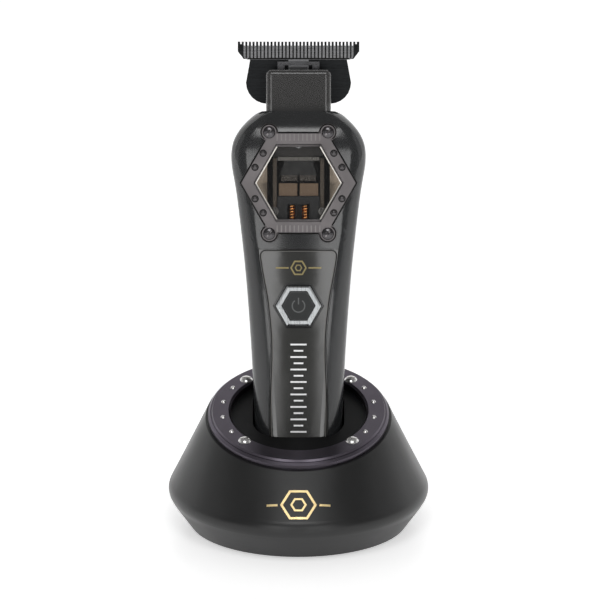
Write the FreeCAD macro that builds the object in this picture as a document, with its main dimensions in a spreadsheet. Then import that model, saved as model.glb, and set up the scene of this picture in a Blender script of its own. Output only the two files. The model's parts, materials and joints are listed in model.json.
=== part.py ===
import FreeCAD, Part
import math
import os
import re

import Sketcher

# Cordless hair trimmer standing in a round charging stand. Millimetres, +Z up, front towards -Y.
# The origin is the centre of the stand's resting face.
# Four frames share that origin's axes. "stand" is upright. "ring" is tilted towards the front, with z = 0
# on the trim ring's top face. "trimmer" leans back, with z = 0 on the trimmer's lower end. "blade" tips
# forward inside the trimmer, with y = 0 on the fixed blade's front face and z = 0 at its lower edge.

V = FreeCAD.Vector
DOC = FreeCAD.newDocument("hair_trimmer")

SIZES = {
    # frames
    "ring_height": 40.0, "ring_tilt": 17.0,
    "trimmer_y": -2.2, "cradle_depth": 28.8, "trimmer_lean": 14.0,
    "blade_y": 5.5, "blade_z": 131.8, "blade_tip": 6.0,
    # clearances
    "slip": 0.15, "running": 0.3, "shaft_play": 0.05, "stud_fit": 0.02,
    # stand housing and base
    "stand_radius": 42.4, "base_taper": 5.4, "bulge_swell": 2.4, "crease_height": 8.5, "bulge_height": 12.6,
    "bulge_round": 4.5, "collar_radius": 31.5, "stand_wall": 2.2, "flange_thick": 2.0,
    "base_lift": 0.8, "floor_thick": 1.8, "spigot_thick": 1.6, "spigot_height": 2.0,
    "pad_rim": 4.0, "pad_thick": 1.5, "post_radius": 3.4, "post_inset": 12.4,
    "base_head_radius": 2.6, "base_head_thick": 1.0, "base_shank_radius": 1.25, "base_shank_length": 10.0,
    "ballast_rim": 2.0, "ballast_inner": 21.5, "ballast_thick": 5.0,
    "inlet_height": 17.4, "inlet_inset": 2.0, "inlet_radius": 3.9, "inlet_hole": 2.75, "inlet_pin": 1.0,
    "inlet_depth": 9.5, "inlet_length": 12.0, "inlet_boss": 6.5, "inlet_dish": 5.0,
    # trim ring and cup
    "ring_inner": 23.0, "ring_outer": 30.6, "ring_thick": 3.0, "ring_bevel": 0.7,
    "cup_boss": 23.5, "cup_flange": 28.2, "cup_thick": 2.0, "cup_wall": 1.5, "cup_clear": 0.6,
    "cup_gap": 0.2, "ring_screw_circle": 25.3, "ring_head_radius": 2.2, "ring_head_height": 1.0,
    "ring_shank_radius": 1.0, "slot_width": 0.55, "slot_depth": 0.55,
    "ring_stud_circle": 25.8, "ring_stud_radius": 0.85, "ring_stud_height": 0.55,
    "ring_stud_shank": 0.5, "ring_stud_depth": 1.5, "ring_stud_step": 10.0,
    # charging board, barrels and pins, under the cup
    "charge_board_top": -3.8, "charge_board_thick": 1.6, "charge_board_half": 11.0,
    "charge_board_front": -12.0, "charge_board_back": 7.0,
    "pin_spacing": 5.0, "pin_y": -3.0, "pin_radius": 0.9, "pin_tail": -3.05, "pin_tip": -0.05,
    "barrel_radius": 1.6, "barrel_top": -2.2, "contact_radius": 2.2, "contact_thick": 1.0,
    # trimmer shells
    "shell_wall": 2.0, "front_corner_low": 8.4, "front_corner_high": 6.2, "rear_corner": 10.0,
    "front_arc": 110.0, "rear_arc": 50.0, "shell_split": 2.0, "seam_width": 0.3, "seam_depth": 0.4,
    "cap_height": 6.0, "cap_spigot": 2.3,
    # neck cover
    "neck_half": 10.9, "neck_front": -8.0, "neck_back": 3.8, "neck_bottom": 122.6, "neck_top": 143.0,
    "neck_wall": 1.5, "neck_round": 1.9, "neck_flange_rim": 1.7, "neck_flange_front": -9.6,
    "neck_flange_thick": 1.8, "neck_mouth_rim": 2.5, "neck_mouth_front": -5.0,
    # control panel and power button
    "panel_thick": 1.2, "panel_groove": 0.18, "panel_bed": 0.08,
    "button_z": 63.9, "button_ring_outer": 7.6, "button_ring_inner": 5.76, "button_play": 0.35,
    "button_rim": 1.0, "button_hold": 1.1, "button_face": -16.4, "button_ring_face": -16.7,
    "button_flange_face": -12.75, "button_flange_thick": 0.8, "button_stem": 1.6,
    "button_stem_end": -11.55, "button_round": 0.5,
    # window
    "window_z": 104.9, "bezel_outer": 19.7, "bezel_face": -18.3, "bezel_back": -13.6,
    "bezel_skirt": -14.0, "opening": 15.06, "lens_ledge": 1.06, "plug_wall": 2.34, "lens_face": -17.9,
    "lens_thick": 2.0, "lens_bevel": 1.1, "lobe_radius": 3.0, "bezel_head_radius": 2.05,
    "bezel_head_height": 0.7, "bezel_groove": 2.35, "bezel_sink": 0.35, "bezel_shank_radius": 0.9,
    "bezel_shank_end": -13.0, "bezel_stud_radius": 0.89, "bezel_stud_offset": 2.7,
    "bezel_stud_apothem": 15.15, "bezel_stud_height": 0.45, "knurl_half": 7.1, "knurl_height": 1.3,
    "knurl_raise": 0.35, "knurl_offset": 15.2,
    "bezel_screw_circle": 19.5, "bezel_bevel": 0.6,
    # motor
    "pivot_z": 118.0, "pivot_radius": 1.5, "bush_wall": 0.6, "hub_wall": 1.4, "hub_front": -10.5,
    "frame_front": -13.0, "frame_rear": 4.0, "frame_plate": 1.5, "frame_back_plate": 2.0,
    "frame_half": 10.5, "frame_side": 1.8, "frame_bottom": 113.9, "frame_top": 122.5,
    "bulkhead_thick": 2.0, "bulkhead_low": 80.5, "arm_front": -1.5, "arm_thick": 2.0, "arm_tip_z": 141.0,
    "arm_half_low": 3.2, "arm_half_tip": 1.2, "yoke_bottom": 107.5, "yoke_top": 115.0, "yoke_half_low": 6.2,
    "yoke_half_top": 4.9, "yoke_back": -2.5, "clip_half": 6.9, "clip_z": 112.4, "clip_height": 1.2,
    "clip_thick": 0.7, "magnet_thick": 1.9, "magnet_gap": 0.8,
    "core_front": -9.0, "core_back": -3.0, "core_bottom": 84.0, "core_base": 4.0, "core_half": 8.6,
    "core_side": 1.3, "core_top": 113.3, "core_leg_x": 2.25, "core_leg_half": 0.6, "pole_top": 104.8,
    "pole_bottom": 100.6, "pole_half": 6.6, "bobbin_half": 7.1, "bobbin_front": -10.5, "bobbin_back": -3.0,
    "bobbin_top": 100.4, "flange_height": 2.5, "coil_half": 1.2, "coil_back": -3.9, "coil_front": -9.9,
    "coil_round": 1.1, "core_screw_x": 7.95, "core_screw_z": 95.4, "core_screw_head": 1.35,
    "core_screw_head_height": 1.0, "core_screw_shank": 0.6, "lug_height": 5.0,
    # power
    "cell_radius": 9.1, "cell_y": 1.8, "cell_bottom": 12.0, "cell_length": 65.0, "cell_clear": 0.15,
    "cell_cap_radius": 2.8, "cell_cap_height": 1.0,
    "holder_half": 10.5, "holder_front": -7.6, "holder_back": -1.0, "holder_wall": 1.8,
    "board_thick": 1.6, "board_half": 8.5, "board_bottom": 14.0, "board_top": 77.2,
    "switch_half": 3.0, "switch_thick": 1.1, "switch_plunger": 1.5, "switch_reach": 0.4,
    "lead_radius": 0.5, "lead_x": 3.5, "lead_bottom": 72.0,
    # shell screws, two low and two high, driven from the back
    "boss_radius": 2.7, "boss_low_x": 13.6, "boss_low_z": 87.6, "boss_high_x": 15.4, "boss_high_z": 116.4,
    "shell_head_radius": 2.2, "shell_head_top": 13.9, "shell_head_height": 1.2, "shell_shank_radius": 1.1,
    "shell_shank_end": -7.0,
    # blade set, in the blade frame
    "blade_thick": 1.4, "blade_half": 17.85, "blade_waist": 16.4, "blade_waist_z": 15.2, "blade_round": 7.2,
    "ear_half": 20.6, "ear_z": 17.8, "blade_tip_z": 21.1, "tooth_pitch": 1.22,
    "tooth_slot": 0.5, "tooth_count": 33, "tooth_root_z": 17.9,
    "cutter_thick": 1.3, "cutter_half": 18.6, "cutter_low_z": 15.1, "cutter_high_z": 19.8,
    "cutter_round": 1.3,
    "cutter_count": 30, "cutter_root_z": 17.9, "ridge_low_z": 16.0, "ridge_depth": 0.6,
    "tongue_half": 3.4, "tongue_z": 10.9, "guide_half": 3.0, "guide_front": -7.8, "guide_low_z": 5.5,
    "guide_back": -3.4, "guide_top_z": 12.6, "guide_play": 0.25, "slot_front": -1.85, "slot_back": 0.85,
    "slot_top": 141.6, "mount_thick": 3.0, "mount_low_z": -8.9, "mount_high_z": 9.4,
    "blade_screw_x": 5.5, "blade_screw_z": 3.6, "blade_head_radius": 2.0, "blade_head_height": 1.0,
    "blade_shank_radius": 1.0, "blade_shank_length": 2.6,
    "bar_front": -2.4, "bar_back": -1.7, "bar_half": 7.1, "bar_low_z": 13.3, "bar_high_z": 14.5,
    "lug_x": 5.9, "lug_z": 12.4, "lug_half": 1.2, "post_head_radius": 1.25, "post_head_height": 1.1,
    "post_shank_radius": 0.6,
}

# Cross sections of the trimmer from its foot to its rim: height, half width, half depth.
STATIONS = {
    "foot": (0.0, 13.2, 11.8), "heel": (3.0, 14.1, 12.7), "shank": (12.0, 14.5, 13.0),
    "seat": (28.0, 14.9, 13.3), "grip": (50.0, 16.0, 14.7), "waist": (66.0, 17.1, 15.8),
    "belly": (82.5, 18.6, 16.7),
    "chest": (94.0, 19.9, 17.2), "head": (104.9, 21.4, 17.5), "shoulder": (113.5, 22.6, 17.4),
    "crown": (119.0, 21.8, 16.8), "brow": (123.0, 19.6, 15.5), "peak": (126.5, 16.4, 13.4),
    "rim": (129.0, 12.6, 11.2),
}
for _name, _row in STATIONS.items():
    for _part, _size in zip(("height", "width", "depth"), _row):
        SIZES[f"{_name}_{_part}"] = _size

# Outline of the control panel from its top edge down: height, half width.
PANEL = {
    "brim": (82.8, 13.3), "flank": (73.7, 12.0), "hip": (66.8, 10.75), "thigh": (58.9, 9.8),
    "knee": (52.5, 9.3), "shin": (42.4, 9.4), "ankle": (20.0, 9.7), "toe": (8.5, 8.2),
}
for _name, _row in PANEL.items():
    for _part, _size in zip(("height", "half"), _row):
        SIZES[f"panel_{_name}_{_part}"] = _size

SHEET = DOC.addObject("Spreadsheet::Sheet", "Sizes")
for _row, (_alias, _size) in enumerate(SIZES.items(), 1):
    SHEET.set(f"A{_row}", _alias)
    SHEET.set(f"B{_row}", str(_size))
    SHEET.setAlias(f"B{_row}", _alias)
DOC.recompute()

ALIASES = re.compile(r"\b(" + "|".join(SIZES) + r")\b")
NODES = {}
COUNTER = {}

# Sizes that follow from others.
TRIMMER_Z = "(ring_height - cradle_depth)"
BASE_RADIUS = "(stand_radius - base_taper)"
BULGE_RADIUS = "(stand_radius + bulge_swell)"
PAD_RADIUS = "(stand_radius - base_taper - pad_rim)"
BALLAST_OUTER = "(stand_radius - base_taper - ballast_rim)"
POST_CIRCLE = "(stand_radius - post_inset)"
INLET_FACE = "(stand_radius - inlet_inset)"
NECK_FLANGE_HALF = "(neck_half + neck_flange_rim)"
NECK_MOUTH_HALF = "(neck_half - neck_mouth_rim)"
MOUNT_HALF = "(neck_half - neck_wall - slip)"
OPENING_LIP = "(opening - lens_ledge)"
LENS_RADIUS = "(opening - stud_fit * 3)"
BEZEL_PLUG = "(opening + plug_wall)"
BUTTON_CAP = "(button_ring_inner - stud_fit * 3)"
BUTTON_BORE = "(button_ring_outer + button_play)"
BUTTON_RECESS = "(button_ring_outer + button_rim)"
BUTTON_FLANGE = "(button_ring_outer + button_hold)"
BUSH_OUTER = "(pivot_radius + bush_wall)"
HUB_RADIUS = "(pivot_radius + bush_wall + hub_wall)"

# The frames as (y, z, lean about X), written from the driving sizes.
LEAN = "(-trimmer_lean)"
FRAMES = {
    "stand": ("0", "0", "0"),
    "ring": ("0", "ring_height", "ring_tilt"),
    "trimmer": ("trimmer_y", TRIMMER_Z, LEAN),
    "blade": (
        "trimmer_y + blade_y * cos(trimmer_lean) + blade_z * sin(trimmer_lean)",
        f"{TRIMMER_Z} - blade_y * sin(trimmer_lean) + blade_z * cos(trimmer_lean)",
        "(blade_tip - trimmer_lean)",
    ),
}


def bound(text):
    """An expression with each size written as a cell of the sheet."""
    return ALIASES.sub(r"Sizes.\1", str(text))


def size(text):
    """The value of a size, or of a sum of sizes."""
    return float(SHEET.evalExpression(str(text)))


def unique(name):
    """A name for an inner feature, numbered so that none repeats."""
    COUNTER[name] = COUNTER.get(name, 0) + 1
    return f"{name}_{COUNTER[name]}"


def axis_turn(axis):
    """The rotation that lays a primitive's own Z along X, Y or Z."""
    turns = {"X": (V(0, 1, 0), 90), "Y": (V(1, 0, 0), -90), "Z": (V(0, 0, 1), 0)}
    return FreeCAD.Rotation(*turns[axis])


def box(x, y, z):
    """A box between two expressions along each axis."""
    made = DOC.addObject("Part::Box", unique("box"))
    for side, start, (low, high) in zip(("Length", "Width", "Height"), "xyz", (x, y, z)):
        made.setExpression(side, bound(f"({high}) - ({low})"))
        made.setExpression(f"Placement.Base.{start}", bound(low))
    return made


def along(made, axis, low, high, at):
    """Lay a round or many-sided primitive along an axis, from low to high, at its other two places."""
    made.setExpression("Height", bound(f"({high}) - ({low})"))
    made.Placement.Rotation = axis_turn(axis)
    others = [letter for letter in "xyz" if letter != axis.lower()]
    made.setExpression(f"Placement.Base.{axis.lower()}", bound(low))
    for letter, text in zip(others, at):
        made.setExpression(f"Placement.Base.{letter}", bound(text))
    return made


def rod(axis, radius, low, high, at=("0", "0")):
    made = DOC.addObject("Part::Cylinder", unique("rod"))
    made.setExpression("Radius", bound(radius))
    return along(made, axis, low, high, at)


def hexagon(radius, low, high, at=("0", "0"), axis="Y"):
    """A six-sided prism with a corner at each side, by its corner radius."""
    made = DOC.addObject("Part::Prism", unique("hexagon"))
    made.Polygon = 6
    made.setExpression("Circumradius", bound(radius))
    return along(made, axis, low, high, at)


def fuse(*shapes):
    if len(shapes) == 1:
        return shapes[0]
    made = DOC.addObject("Part::MultiFuse", unique("fuse"))
    made.Shapes = list(shapes)
    return made


def group(*shapes):
    """Several separate solids in one node."""
    made = DOC.addObject("Part::Compound", unique("group"))
    made.Links = list(shapes)
    return made


def cut(base, *tools):
    made = DOC.addObject("Part::Cut", unique("cut"))
    made.Base = base
    made.Tool = fuse(*tools)
    return made


def common(base, tool):
    made = DOC.addObject("Part::Common", unique("common"))
    made.Base = base
    made.Tool = tool
    return made


def eased(base, kind, radius, wanted):
    """Fillet or chamfer the edges that wanted(edge) picks."""
    DOC.recompute()
    made = DOC.addObject(f"Part::{kind}", unique(kind.lower()))
    made.Base = base
    amount = size(radius)
    made.Edges = [(i, amount, amount) for i, edge in enumerate(base.Shape.Edges, 1) if wanted(edge)]
    return made


def feature(name, shape):
    """A free-form shape, made with Part's own functions."""
    made = DOC.addObject("Part::Feature", unique(name))
    made.Shape = shape
    return made


def place(made, frame):
    y, z, lean = FRAMES[frame]
    made.setExpression("Placement.Base.y", bound(y))
    made.setExpression("Placement.Base.z", bound(z))
    made.setExpression("Placement.Rotation.Angle", bound(lean))
    made.Placement.Rotation = FreeCAD.Rotation(V(1, 0, 0), size(lean))
    return made


def node(name, made, frame="trimmer"):
    """Name a finished sub-part and put it in its frame. A single primitive already holds its own place."""
    if frame != "stand":
        if made.TypeId in ("Part::Box", "Part::Cylinder", "Part::Fillet", "Part::Chamfer"):
            made = group(made)
        place(made, frame)
    made.Label = name
    NODES[name] = made
    return made


def origin_plane(body, role):
    return next(one for one in body.Origin.OriginFeatures if one.Role == role)


def sketch(body, plane, name, points, offset="0"):
    """A closed polygon whose corners are each bound to the sheet."""
    made = body.newObject("Sketcher::SketchObject", name)
    made.AttachmentSupport = [(origin_plane(body, plane), "")]
    made.MapMode = "FlatFace"
    made.setExpression("AttachmentOffset.Base.z", bound(offset))
    corners = [V(size(x), size(y), 0) for x, y in points]
    count = len(corners)
    for i in range(count):
        made.addGeometry(Part.LineSegment(corners[i], corners[(i + 1) % count]), False)
    for i in range(count):
        made.addConstraint(Sketcher.Constraint("Coincident", i, 2, (i + 1) % count, 1))
    for i, (x, y) in enumerate(points):
        for kind, text, value in (("DistanceX", x, corners[i].x), ("DistanceY", y, corners[i].y)):
            index = made.addConstraint(Sketcher.Constraint(kind, -1, 1, i, 1, value))
            made.setExpression(f"Constraints[{index}]", bound(text))
    return made


def turned(points):
    """A body of revolution about its own Z, from (radius, height) corners."""
    body = DOC.addObject("PartDesign::Body", unique("turned"))
    made = body.newObject("PartDesign::Revolution", "turn")
    made.Profile = sketch(body, "XZ_Plane", "profile", points)
    made.ReferenceAxis = (made.Profile[0], ["V_Axis"])
    made.Angle = 360
    return body


def plate(points, low, high):
    """A flat plate of an (x, z) outline, from low to high along Y."""
    body = DOC.addObject("PartDesign::Body", unique("plate"))
    made = body.newObject("PartDesign::Pad", "pad")
    made.Profile = sketch(body, "XZ_Plane", "outline", points, f"-({low})")
    made.Reversed = True
    made.setExpression("Length", bound(f"({high}) - ({low})"))
    return body


def mirrored_outline(points):
    """Both halves of an outline, from the right-hand points read upwards."""
    return [(x, z) for x, z in points] + [(f"-({x})", z) for x, z in reversed(points)]


def slot_row(body, name, pitch, count, width, low, high, front=None):
    """A row of slots cut down into a plate's edge; front limits their depth from that face."""
    start = f"-({pitch}) * ({count} - 1) / 2"
    corners = [
        (f"{start} - ({width}) / 2", low), (f"{start} + ({width}) / 2", low),
        (f"{start} + ({width}) / 2", high), (f"{start} - ({width}) / 2", high),
    ]
    made = body.newObject("PartDesign::Pocket", f"{name}_slot")
    if front is None:
        made.Profile = sketch(body, "XZ_Plane", f"{name}_outline", corners)
        made.Type = "ThroughAll"
        made.Midplane = True
    else:
        face, depth = front
        made.Profile = sketch(body, "XZ_Plane", f"{name}_outline", corners, f"-({face})")
        made.setExpression("Length", bound(depth))
        made.Reversed = False
    row = body.newObject("PartDesign::LinearPattern", f"{name}_row")
    row.Originals = [made]
    row.Direction = (made.Profile[0], ["H_Axis"])
    row.setExpression("Length", bound(f"({pitch}) * ({count} - 1)"))
    row.setExpression("Occurrences", bound(count))
    body.Tip = row
    return made


def around(count, start, radius):
    """Places on a circle about Z, as pairs of expressions."""
    turns = [start + 360.0 * i / count for i in range(count)]
    return [(f"({radius}) * cos({a})", f"({radius}) * sin({a})") for a in turns]


def loft(stations, inset):
    """A skin over cross sections, each drawn inset by a distance."""
    return Part.makeLoft([section(*one, inset) for one in stations], True, False)


def section(z, half, depth, corner, inset):
    """A closed outline with a gently curved front and back and round corners, all tangent."""
    half = half - inset
    ends = []
    for side, arc, radius in ((-1, size("front_arc"), corner), (1, size("rear_arc"), size("rear_corner"))):
        arc = arc - inset
        radius = radius - inset
        reach = depth - inset
        centre = reach - arc
        middle = half - radius
        knuckle = centre + math.sqrt((arc - radius) ** 2 - middle ** 2)
        slope = math.atan2(middle, knuckle - centre)
        turn = (math.pi / 2 - slope) / 2
        halfway = (middle + radius * math.sin(slope + turn), knuckle + radius * math.cos(slope + turn))
        touch = (arc * math.sin(slope), centre + arc * math.cos(slope))
        ends.append([(x, side * y) for x, y in ((0.0, reach), touch, halfway, (half, knuckle))])
    front, rear = ends

    def at(point, mirror=1):
        return V(mirror * point[0], point[1], z)

    edges = [
        Part.Arc(at(front[1], -1), at(front[0]), at(front[1])),
        Part.Arc(at(front[1]), at(front[2]), at(front[3])),
        Part.LineSegment(at(front[3]), at(rear[3])),
        Part.Arc(at(rear[3]), at(rear[2]), at(rear[1])),
        Part.Arc(at(rear[1]), at(rear[0]), at(rear[1], -1)),
        Part.Arc(at(rear[1], -1), at(rear[2], -1), at(rear[3], -1)),
        Part.LineSegment(at(rear[3], -1), at(front[3], -1)),
        Part.Arc(at(front[3], -1), at(front[2], -1), at(front[1], -1)),
    ]
    return Part.Wire([edge.toShape() for edge in edges])


def trimmer_stations(inset=0.0):
    """The trimmer's cross sections, drawn in at both ends by the inset."""
    rows = []
    low = size("shoulder_height")
    high = size("rim_height")
    for name in STATIONS:
        z, half, depth = (size(f"{name}_{part}") for part in ("height", "width", "depth"))
        share = min(1.0, max(0.0, z / size("head_height")))
        corner = size("front_corner_low") + (size("front_corner_high") - size("front_corner_low")) * share
        z = z - inset * max(0.0, (z - low) / (high - low))
        if name == "foot":
            z = z + inset
        if name == "heel":
            z = z + inset
        rows.append((z, half, depth, corner))
    return rows


def trimmer_body(inset=0.0):
    return loft(trimmer_stations(inset), inset)


def cavity(outset, bottom):
    """The room that the trimmer's lower end needs, with straight sides at its foot."""
    seat, grip = (row for row in trimmer_stations() if row[0] in (size("seat_height"), size("grip_height")))
    low = (bottom,) + seat[1:]
    outlines = [section(*one, -outset) for one in (low, seat, grip)]
    return Part.makeLoft(outlines, True, True)


def slab(low, high, reach=60.0):
    """A level slice, wider than the trimmer."""
    return Part.makeBox(2 * reach, 2 * reach, high - low, V(-reach, -reach, low))


def behind(y, depth=60.0):
    """Everything behind a plane across the trimmer."""
    return Part.makeBox(120, depth, 240, V(-60, y, -40))


def moved(shape, frame):
    """A copy of a shape, taken from its own frame to the stand's."""
    y, z, lean = (size(text) for text in FRAMES[frame])
    copy = shape.copy()
    frame = FreeCAD.Placement(V(0, y, z), FreeCAD.Rotation(V(1, 0, 0), lean))
    copy.Placement = frame.multiply(copy.Placement)
    return copy


# ---- stand ----------------------------------------------------------------------------------------------

def tilted_circle(radius, depth):
    """A circle about the ring's axis, a depth below the ring's top face."""
    made = DOC.addObject("Part::Circle", unique("circle"))
    made.setExpression("Radius", bound(radius))
    made.setExpression("Placement.Base.y", bound(f"({depth}) * sin(ring_tilt)"))
    made.setExpression("Placement.Base.z", bound(f"ring_height - ({depth}) * cos(ring_tilt)"))
    made.setExpression("Placement.Rotation.Angle", bound("ring_tilt"))
    made.Placement.Rotation = FreeCAD.Rotation(V(1, 0, 0), size("ring_tilt"))
    return made


def level_circle(radius, height):
    made = DOC.addObject("Part::Circle", unique("circle"))
    made.setExpression("Radius", bound(radius))
    made.setExpression("Placement.Base.z", bound(height))
    return made


def skirt(inset, depth):
    """The stand's outer form, or its hollow: two ruled skins that meet at the widest line."""
    widest = f"{BULGE_RADIUS} - {inset}"
    low = DOC.addObject("Part::Loft", unique("skirt"))
    crease = level_circle(f"stand_radius - {inset}", "crease_height")
    low.Sections = [crease, level_circle(widest, "bulge_height")]
    high = DOC.addObject("Part::Loft", unique("skirt"))
    high.Sections = [level_circle(widest, "bulge_height"), tilted_circle(f"collar_radius - {inset}", depth)]
    for one in (low, high):
        one.Solid = True
        one.Ruled = True
    return fuse(low, high)


def widest_edge(edge):
    box_ = edge.BoundBox
    return box_.ZLength < 0.01 and abs(box_.ZMax - size("bulge_height")) < 0.01


POSTS = around(4, 45.0, POST_CIRCLE)
RING_SCREWS = around(4, 45.0, "ring_screw_circle")
RING_STUDS = [
    (f"ring_stud_circle * cos({turn})", f"ring_stud_circle * sin({turn})")
    for side in (0, 180) for turn in (side + step * size("ring_stud_step") for step in (-3, -1, 1, 3))
]


def stand_housing():
    outer = eased(skirt("0", "ring_thick"), "Fillet", "bulge_round", widest_edge)
    hollow = skirt("stand_wall", "ring_thick + flange_thick")
    shell = cut(outer, hollow)
    posts = [rod("Z", "post_radius", "pad_thick + floor_thick", "60", at) for at in POSTS]
    boss = rod("Y", "inlet_boss", f"{INLET_FACE} - 5", f"{INLET_FACE} + 10", ("0", "inlet_height"))
    inner = common(fuse(*posts, boss), outer)
    joined = fuse(shell, inner)
    throat = rod("Z", "cup_boss + slip", "-60", "5")
    place(throat, "ring")
    throat.setExpression("Placement.Base.y", bound("60 * sin(ring_tilt)"))
    throat.setExpression("Placement.Base.z", bound("ring_height - 60 * cos(ring_tilt)"))
    room = rod("Z", "cup_flange + slip", "-60", "0")
    place(room, "ring")
    room.setExpression("Placement.Base.y", bound("(60 + ring_thick + flange_thick) * sin(ring_tilt)"))
    depth = "(60 + ring_thick + flange_thick)"
    room.setExpression("Placement.Base.z", bound(f"ring_height - {depth} * cos(ring_tilt)"))
    holes = [rod("Z", "ring_shank_radius + stud_fit", "-20", "5", at) for at in RING_SCREWS]
    drilled = place(fuse(*holes), "ring")
    shank = "base_shank_radius + stud_fit"
    screws = [rod("Z", shank, "0", "pad_thick + base_shank_length", at) for at in POSTS]
    centre = ("0", "inlet_height")
    inlet = rod("Y", "inlet_radius + slip", f"{INLET_FACE} - 12", f"{INLET_FACE} + 10", centre)
    dish = rod("Y", "inlet_dish", INLET_FACE, f"{INLET_FACE} + 10", ("0", "inlet_height"))
    node("stand_housing", cut(joined, throat, room, drilled, *screws, inlet, dish), "stand")


def stand_base():
    floor = "pad_thick + floor_thick"
    seat = "stand_radius - stand_wall - slip"
    body = turned([
        ("0", "pad_thick"), (f"{PAD_RADIUS} + slip", "pad_thick"), (f"{PAD_RADIUS} + slip", "base_lift"),
        (BASE_RADIUS, "base_lift"), ("stand_radius", "crease_height"), (seat, "crease_height"),
        (seat, "crease_height + spigot_height"), (f"{seat} - spigot_thick", "crease_height + spigot_height"),
        (f"{seat} - spigot_thick", "crease_height - 1"), (f"{BASE_RADIUS} - spigot_thick", floor),
        ("0", floor),
    ])
    shanks = [rod("Z", "base_shank_radius + stud_fit", "0", "10", at) for at in POSTS]
    sinks = [rod("Z", "base_head_radius + stud_fit", "0", "pad_thick + base_head_thick", at) for at in POSTS]
    node("stand_base", cut(body, *shanks, *sinks), "stand")


def screws_up():
    heads = [rod("Z", "base_head_radius", "pad_thick", "pad_thick + base_head_thick", at) for at in POSTS]
    shanks = [
        rod("Z", "base_shank_radius", "pad_thick + base_head_thick", "pad_thick + base_shank_length", at)
        for at in POSTS
    ]
    node("base_screws", group(*[fuse(*pair) for pair in zip(heads, shanks)]), "stand")


def ballast():
    disc = rod("Z", BALLAST_OUTER, "pad_thick + floor_thick", "pad_thick + floor_thick + ballast_thick")
    holes = [rod("Z", "post_radius + running", "0", "20", at) for at in POSTS]
    node("ballast_ring", cut(disc, rod("Z", "ballast_inner", "0", "20"), *holes), "stand")


def trim_ring():
    body = turned([
        ("ring_inner", "-ring_thick"), ("ring_outer", "-ring_thick"), ("ring_outer", "-ring_bevel * 2"),
        ("ring_outer - ring_bevel", "-ring_bevel"), ("ring_outer - ring_bevel * 1.6", "-ring_bevel"),
        ("ring_outer - ring_bevel * 1.6 - 0.4", "0"), ("ring_inner + ring_bevel", "0"),
        ("ring_inner", "-ring_bevel"),
    ])
    screws = [rod("Z", "ring_shank_radius + stud_fit", "-10", "5", at) for at in RING_SCREWS]
    studs = [rod("Z", "ring_stud_shank + stud_fit", "-ring_stud_depth", "5", at) for at in RING_STUDS]
    node("trim_ring", cut(body, *screws, *studs), "ring")


def domed(radius, height, at, shank, depth, slot=True):
    """A domed head with a shank below it, along Z, and a screwdriver slot across it."""
    ball = DOC.addObject("Part::Sphere", unique("dome"))
    round_ = f"(({radius}) * ({radius}) + ({height}) * ({height})) / (2 * ({height}))"
    ball.setExpression("Radius", bound(round_))
    ball.setExpression("Placement.Base.x", bound(at[0]))
    ball.setExpression("Placement.Base.y", bound(at[1]))
    ball.setExpression("Placement.Base.z", bound(f"({height}) - {round_}"))
    head = common(rod("Z", radius, "0", height, at), ball)
    whole = fuse(head, rod("Z", shank, f"-({depth})", f"({height}) / 4", at))
    if not slot:
        return whole
    groove = box(
        (f"{at[0]} - ({radius}) * 1.5", f"{at[0]} + ({radius}) * 1.5"),
        (f"{at[1]} - slot_width / 2", f"{at[1]} + slot_width / 2"),
        (f"({height}) - slot_depth", f"({height}) + 1"),
    )
    return cut(whole, groove)


def ring_fasteners():
    depth = "ring_thick + flange_thick + cup_thick"
    head = ("ring_head_radius", "ring_head_height")
    screws = [domed(*head, at, "ring_shank_radius", depth) for at in RING_SCREWS]
    node("ring_screws", group(*screws), "ring")
    studs = [
        domed("ring_stud_radius", "ring_stud_height", at, "ring_stud_shank", "ring_stud_depth", slot=False)
        for at in RING_STUDS
    ]
    node("ring_studs", group(*studs), "ring")


def cradle_cup():
    """The dish and its pocket, open upwards and shaped to the trimmer's lower end."""
    bottom = -size("cup_gap")
    wall = size("cup_clear") + size("cup_wall")
    pocket = moved(cavity(wall, bottom - size("cup_wall")), "trimmer")
    top = size("ring_thick")
    boss_height = size("flange_thick") + 0.5
    boss = Part.makeCylinder(size("cup_boss"), boss_height, V(0, 0, -top - boss_height))
    flange_low = -top - size("flange_thick") - size("cup_thick")
    flange = Part.makeCylinder(size("cup_flange"), size("cup_thick"), V(0, 0, flange_low))
    above = Part.makeCylinder(100, 100, V(0, 0, -top))
    dish = moved(flange.fuse(boss), "ring")
    whole = dish.fuse(pocket).cut(moved(above, "ring"))
    whole = whole.cut(moved(cavity(size("cup_clear"), bottom), "trimmer"))
    holes = [
        Part.makeCylinder(size("ring_shank_radius + stud_fit"), 20, V(size(x), size(y), -15))
        for x, y in RING_SCREWS
    ]
    whole = whole.cut(moved(Part.makeCompound(holes), "ring"))
    pins = [
        Part.makeCylinder(
            size("pin_radius + shaft_play"), 8, V(side * size("pin_spacing"), size("pin_y"), -5))
        for side in (-1, 1)
    ]
    whole = whole.cut(moved(Part.makeCompound(pins), "trimmer"))
    node("cradle_cup", feature("cup", whole.removeSplitter()), "stand")


PINS = [(f"{side} * pin_spacing", "pin_y") for side in (-1, 1)]


def charging_parts():
    x = ("-charge_board_half", "charge_board_half")
    y = ("charge_board_front", "charge_board_back")
    board = box(x, y, ("charge_board_top - charge_board_thick", "charge_board_top"))
    node("charging_board", board, "trimmer")
    barrels = [
        cut(
            rod("Z", "barrel_radius", "charge_board_top", "barrel_top", at),
            rod("Z", "pin_radius + shaft_play", "charge_board_top", "barrel_top", at),
        )
        for at in PINS
    ]
    node("contact_barrels", group(*barrels), "trimmer")
    pins = [rod("Z", "pin_radius", "pin_tail", "pin_tip", at) for at in PINS]
    node("contact_pins", group(*pins), "trimmer")
    pads = [rod("Z", "contact_radius", "0", "contact_thick", at) for at in PINS]
    node("charge_contacts", group(*pads), "trimmer")


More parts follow.
